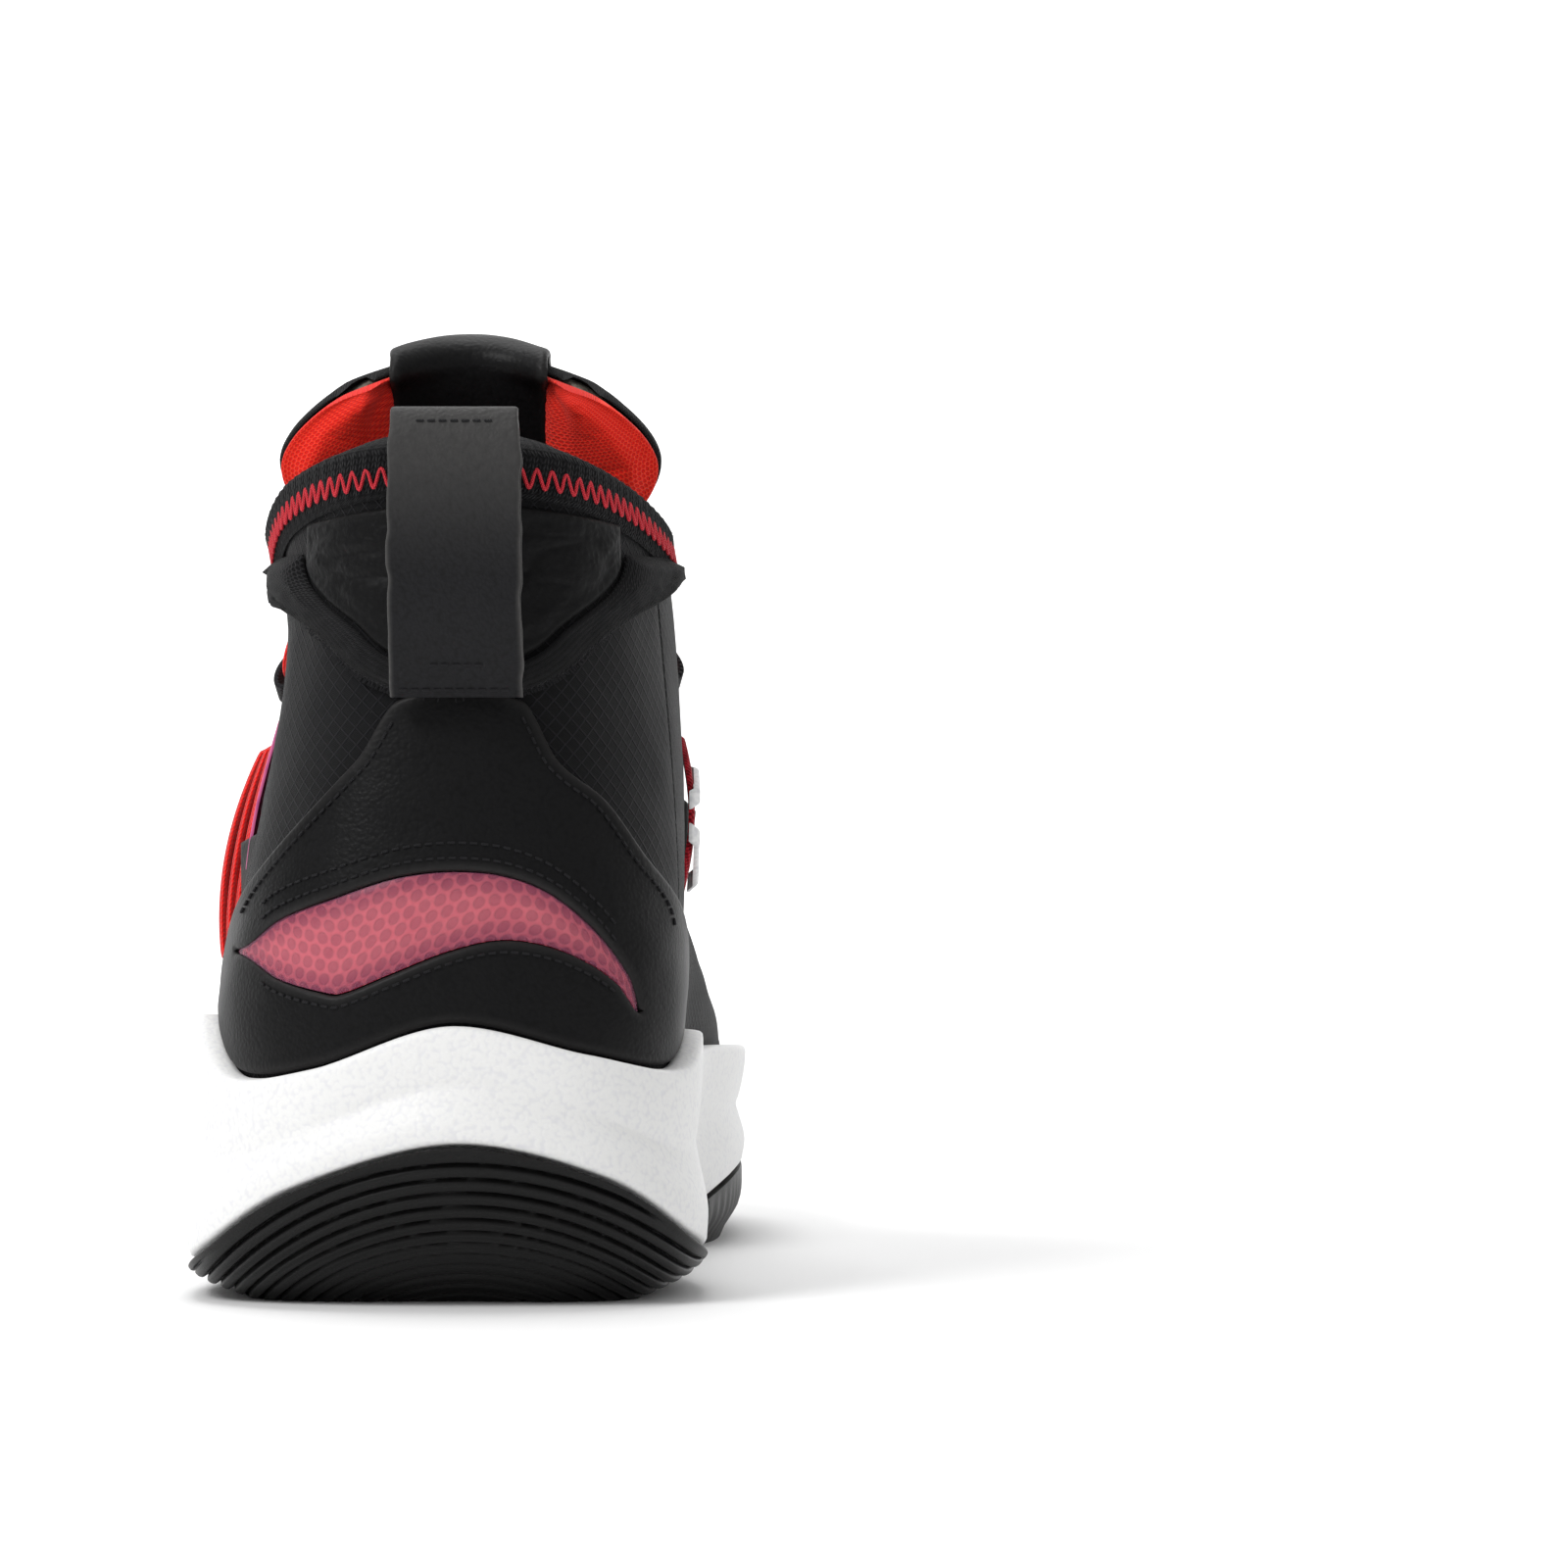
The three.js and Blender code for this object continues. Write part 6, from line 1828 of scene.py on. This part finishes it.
        self.place("tongue pull tab", slab(outer, base, wear=wear), Look.LEATHER, "leather",
                   ["tongue_pull_tab"], Body.FLAP)


# ------ lacing
@dataclass
class Lacing(Assembly):
    """Flat lace criss-crossed through webbing loops, both ends tucked in beside the tongue."""

    rows: tuple[float, ...] = (8.05, 7.3, 6.55, 5.8, 5.1)
    eyelet_t: float = 0.9
    width: float = 4.2
    thick: float = 1.9
    clear: float = 4.4
    over: float = 4.6
    under: float = 1.4
    bar: float = 1.4
    loop_length: float = 5.5
    loop_width: float = 10.4
    loop_height: float = 5.6
    wall: float = 0.9

    def frame(self, station: float) -> tuple[Array, Array, Array]:
        """Frame of the loop at a station: its centre, the way along the throat and the way out."""
        s, t = np.array([station]), np.array([self.eyelet_t])
        centre = LAST.point(s, t, np.array([0.6 + OVERLAY + 0.5 + self.loop_height / 2]))[0]
        along = unit(LAST.surface(s + 0.05, t) - LAST.surface(s - 0.05, t))[0]
        return centre, along, LAST.normal(s, t)[0]

    def station(self, row: int, side: Side) -> float:
        """Station of a row's loop on one side."""
        return self.rows[row] if side is Side.LATERAL else COUNT - self.rows[row]

    def knots(self) -> tuple[Array, Array]:
        """Points of the lace's middle line and the way its flat side faces at each."""
        points: list[Array] = []
        facing: list[Array] = []

        def add(point: Array, out: Array) -> None:
            """Notes one knot."""
            points.append(point)
            facing.append(out)

        def through_loop(row: int, side: Side, direction: int) -> None:
            """Three knots straight through a loop, towards the ankle or the toe."""
            centre, along, out = self.frame(self.station(row, side))
            for reach in (-1, 0, 1):
                add(centre + along * (-side.value * direction * reach * (self.loop_length / 2 + 2)), out)

        def crossing(start: int, end: int, side: Side, lift: float) -> None:
            """Three knots from a row on one side over the tongue to a row on the other."""
            ends = []
            for share, where in ((0.25, side), (0.75, Side(-side.value))):
                s = np.array([lerp(self.station(start, where), self.station(end, where), share)])
                out = LAST.normal(s, 1.0)[0]
                ends.append((LAST.surface(s, 1.0)[0] + out * self.clear, out))
            up = unit((ends[0][1] + ends[1][1]) * [0, 1, 1])
            add(*ends[0])
            add((ends[0][0] + ends[1][0]) / 2 + up * lift, up)
            add(*ends[1])

        def tail(side: Side) -> list[tuple[Array, Array]]:
            """Four knots from inside the collar, over its edge, down to the top loop."""
            made = []
            for place, t, offset, turn, raised in ((4.84, 0.84, -6.6, 1.0, 0.0), (4.8, 0.93, -6.4, 1.0, 0.0),
                                                   (4.78, 1.0, -0.6, 0.5, 4.0), (4.86, 0.95, 4.6, 0.0, 0.0)):
                s = np.array([place if side is Side.LATERAL else COUNT - place])
                rise = unit(LAST.surface(s, 1.0) - LAST.surface(s, 0.97))[0]
                normal = LAST.normal(s, t)[0]
                out = normal * math.cos(math.pi * turn) + rise * math.sin(math.pi * turn)
                made.append((LAST.point(s, t, np.array([offset]))[0] + out * raised, out))
            return made

        for knot in tail(Side.LATERAL):
            add(*knot)
        for row in range(4, -1, -1):
            side = Side.MEDIAL if row % 2 else Side.LATERAL
            through_loop(row, side, 1)
            crossing(row, max(0, row - 1), side, self.over if row else self.bar)
        for row in range(5):
            side = Side.LATERAL if row % 2 else Side.MEDIAL
            through_loop(row, side, -1)
            if row < 4:
                crossing(row, row + 1, side, self.under)
        for knot in reversed(tail(Side.MEDIAL)):
            add(*knot)
        return np.array(points), np.array(facing)

    def build(self) -> None:
        """Makes the lace and its ten loops."""
        knots, facing = self.knots()
        gap = np.linalg.norm(np.diff(knots, axis=0), axis=1) ** 0.5
        place = np.concatenate([[0], np.cumsum(gap)])
        fine = np.concatenate([np.linspace(a, b, 12, endpoint=False) for a, b in zip(place[:-1], place[1:])]
                              + [place[-1:]])
        line, way = (np.stack([hermite(place, values, np.gradient(values, place), fine) for values in rows.T],
                              -1) for rows in (knots, facing))
        across, out = directions(line, way)
        angle = np.linspace(0, 2 * np.pi, 16, endpoint=False)
        section = np.stack([self.width / 2 * np.sign(np.cos(angle)) * np.abs(np.cos(angle)) ** 0.8,
                            self.thick / 2 * np.sign(np.sin(angle)) * np.abs(np.sin(angle)) ** 0.6], -1)
        self.place("lace", sweep(line, across, out, section), Look.LACE, "lace", ["lace"], sharp=80)
        for side in Side:
            for row in range(5):
                name = f"lace_loop_{side.name.lower()}_{row + 1}"
                self.place(name.replace("_", " "), self.loop(self.station(row, side)), Look.LOOP_WEBBING,
                           "webbing", [name])

    def loop(self, station: float) -> Shape:
        """Oval sleeve of webbing along the throat's edge, at a station: two ellipses, one inside."""
        centre, along, out = self.frame(station)
        across = unit(np.cross(out, along))
        angle = np.linspace(0, 2 * np.pi, 49)[:-1]
        ends = np.array([-0.5, -0.47, -0.3, 0, 0.3, 0.47, 0.5]) * self.loop_length
        grids = []
        for shrink in (0.0, self.wall):
            trim = np.array([0.25, 0, 0, 0, 0, 0, 0.25]) * (1 if shrink == 0 else -1)
            wide = self.loop_width / 2 - shrink - trim[None, :]
            tall = self.loop_height / 2 - shrink - trim[None, :]
            grids.append(centre + across * (wide * np.cos(angle)[:, None])[..., None]
                         + out * (tall * np.sin(angle)[:, None])[..., None] + along * ends[None, :, None])
        return slab(grids[0], grids[1], wrap=True)


# ------ heel pull loop
@dataclass
class PullLoop(Assembly):
    """Doubled leather strap at the heel: up its outer leg, over the fold, down beside the collar."""

    width: float = 23.4
    centre: float = 1.4
    outer: Pairs = ((9.7, 108.4), (6.2, 114), (2.7, 122), (1, 132), (0.6, 142), (1.2, 151), (2.5, 156.5),
                    (4.9, 159.6), (7.3, 158.7), (8.7, 155), (9.1, 148), (9.1, 138), (9.5, 128), (10.6, 119),
                    (11.8, 113), (12.7, 108.4))
    inner: Pairs = ((11.1, 108.4), (8.6, 114.2), (4.3, 122.4), (2.5, 132.2), (2.1, 142), (2.7, 150.8),
                    (3.8, 155.6), (5.2, 157.6), (6.4, 156.8), (7.2, 154.4), (7.6, 147.8), (7.6, 138),
                    (8, 128), (9.1, 119), (10.2, 113.6), (11.3, 108.4))

    def build(self) -> None:
        """Makes the strap and its stitching."""
        share = edge_steps(150, 0.008)
        across = edge_steps(44, 0.04)
        outside, inside = (spline(np.array(curve, float), share) for curve in (self.outer, self.inner))
        distance = np.minimum(across, 1 - across)[None, :] * self.width + 0 * share[:, None]
        fullness = round_over(distance, 0.7, 0.45)
        x = self.centre + (across[None, :] - 0.5) * self.width + 0 * share[:, None]
        tall = outside[:, 1][:, None] + 0 * x
        frayed = LUMPS(np.stack([np.sign(x) * 30, 0 * x, tall], -1), 3.0)
        frayed = frayed + LUMPS(np.stack([x, x, tall], -1), 14.0)
        edge = 2 * across - 1
        x = x + 0.3 * frayed * np.abs(edge)[None, :] ** 3 - 0.5 * smooth((tall - 150) / 8) * edge
        sway = 0.35 * LUMPS(np.stack([x, 0 * x, tall], -1), 11.0)
        line_out, line_in = (np.concatenate([x[..., None], np.broadcast_to(leg[:, None], x.shape + (2,))], -1)
                             for leg in (outside, inside))
        middle = (line_out + line_in) / 2
        skin = middle + (line_out - middle) * fullness[..., None]
        back = middle + (line_in - middle) * fullness[..., None]
        bow = np.stack([0 * x, sway * smooth((tall - 112) / 8), 0 * x], -1)
        # high is a painted highlight: the strap is painted lighter from 128 mm up to its top fold, mixed into
        # the mask of its raw edges
        high = smooth((tall - 128) / 32)
        wear = np.maximum(np.clip(1 - distance / 0.7, 0, 1), 0.7 * high)
        strap = self.place("heel pull loop", slab(skin + bow, back + bow, wear=wear), Look.STRAP, "strap",
                           ["heel_pull_loop"], None)
        facing = unit(skin - back)
        rows = []
        for z, half in ((157.0, 0.33), (114.2, 0.22), (109.6, 0.45)):
            k = int(np.abs(outside[: len(share) // 2, 1] - z).argmin())
            keep = np.abs(across - 0.5) < half
            rows.append(seam((skin + bow)[k, keep] + facing[k, keep] * 0.15, facing[k, keep], 2.0, 1.4, 0.5))
        thread = self.place("strap stitching", Shape.joined(rows), Look.BLACK_THREAD, "strap", body=None)
        for piece in (strap, thread):
            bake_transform(piece)


# ------ studio
@dataclass
class Studio:
    """Pale floor, soft light and the camera, level behind the shoe."""

    distance: float = 1.2
    side: float = 59.5
    height: float = 93.0
    lens: float = 156.6

    def build(self) -> None:
        """Places floor, lights and camera; the backdrop gets a painted glow that grows towards the back wall.
        """
        floor = self.backdrop()
        white = bpy.data.materials.new("floor white")
        white.use_nodes = True
        graph = Graph(white.node_tree)
        place = graph.node("ShaderNodeSeparateXYZ", {0: graph.node("ShaderNodeTexCoord").outputs["Object"]})
        # painted glow: the floor and wall emit light that grows from 0.5 m to 2.3 m behind the shoe, so the
        # back wall reads white with no lamp aimed at it
        painted_wall_glow = graph.math("MULTIPLY", graph.ramp(place.outputs["Y"], 0.5, 2.3), 0.6)
        graph.shade(Emission_Strength=painted_wall_glow, Emission_Color=(1, 1, 1, 1), Roughness=0.8,
                    Base_Color=(0.97, 0.97, 0.97, 1))
        floor.data.materials.append(white)
        world = bpy.data.worlds.new("studio")
        world.use_nodes = True
        sky = world.node_tree.nodes["Background"].inputs
        sky["Color"].default_value, sky["Strength"].default_value = (1, 1, 1, 1), 0.5
        bpy.context.scene.world = world
        self.light("key", (-0.95, -1.0, 1.35), 0.7, 17)
        self.light("top", (-0.15, 0.3, 1.5), 0.9, 9)
        camera = bpy.data.objects.new("camera", bpy.data.cameras.new("camera"))
        camera.data.lens = self.lens
        camera.data.sensor_width = 36
        camera.data.clip_start = 0.01
        camera.location = (self.side * MM + SHIFT[0], -self.distance + SHIFT[1], self.height * MM)
        camera.rotation_euler = (math.pi / 2, 0, 0)
        bpy.context.scene.collection.objects.link(camera)
        bpy.context.scene.camera = camera
        bpy.context.scene.view_settings.view_transform = "Standard"

    @staticmethod
    def backdrop() -> bpy.types.Object:
        """Floor that sweeps up into a back wall, as one bent sheet."""
        turn = np.linspace(0, np.pi / 2, 24)
        bend = np.stack([1.9 + 0.9 * np.sin(turn), 0.9 - 0.9 * np.cos(turn)], -1)
        line = np.concatenate([[(-3.5, 0.0)], bend, [(2.8, 4.0)]])
        points = np.concatenate([np.insert(line, 0, side, axis=1) for side in (4.0, -4.0)])
        mesh = bpy.data.meshes.new("backdrop")
        mesh.from_pydata(points.tolist(), [], grid_faces(2, len(line)).tolist())
        mesh.polygons.foreach_set("use_smooth", np.ones(len(mesh.polygons), bool))
        made = bpy.data.objects.new("backdrop", mesh)
        bpy.context.scene.collection.objects.link(made)
        return made

    @staticmethod
    def light(name: str, place: tuple[float, float, float], size: float, power: float) -> None:
        """One square area light that faces the shoe.

        Args:
            name: the light's name.
            place: where it stands, metres.
            size, power: its width in metres and its watts.
        """
        lamp = bpy.data.lights.new(name, "AREA")
        lamp.size, lamp.energy = size, power
        made = bpy.data.objects.new(name, lamp)
        made.location = place
        aim = -np.array(place) + [0, 0, 0.08]
        flat = math.hypot(aim[0], aim[1])
        made.rotation_euler = (math.atan2(flat, -aim[2]), 0, math.atan2(aim[1], aim[0]) - math.pi / 2)
        bpy.context.scene.collection.objects.link(made)


def main() -> None:
    """Builds the shoe from the ground up, then the studio, and notes its size."""
    logging.basicConfig(level=logging.INFO, format="%(name)s %(message)s")
    wardrobe = Wardrobe()
    for assembly in (Sole, Bootie, Shell, HeelLeather, AnkleTrim, SideTrim, Tongue, Lacing, PullLoop):
        LOG.info("building %s", assembly.__name__)
        assembly(wardrobe).build()
    Studio().build()


if __name__ == "__main__":
    main()
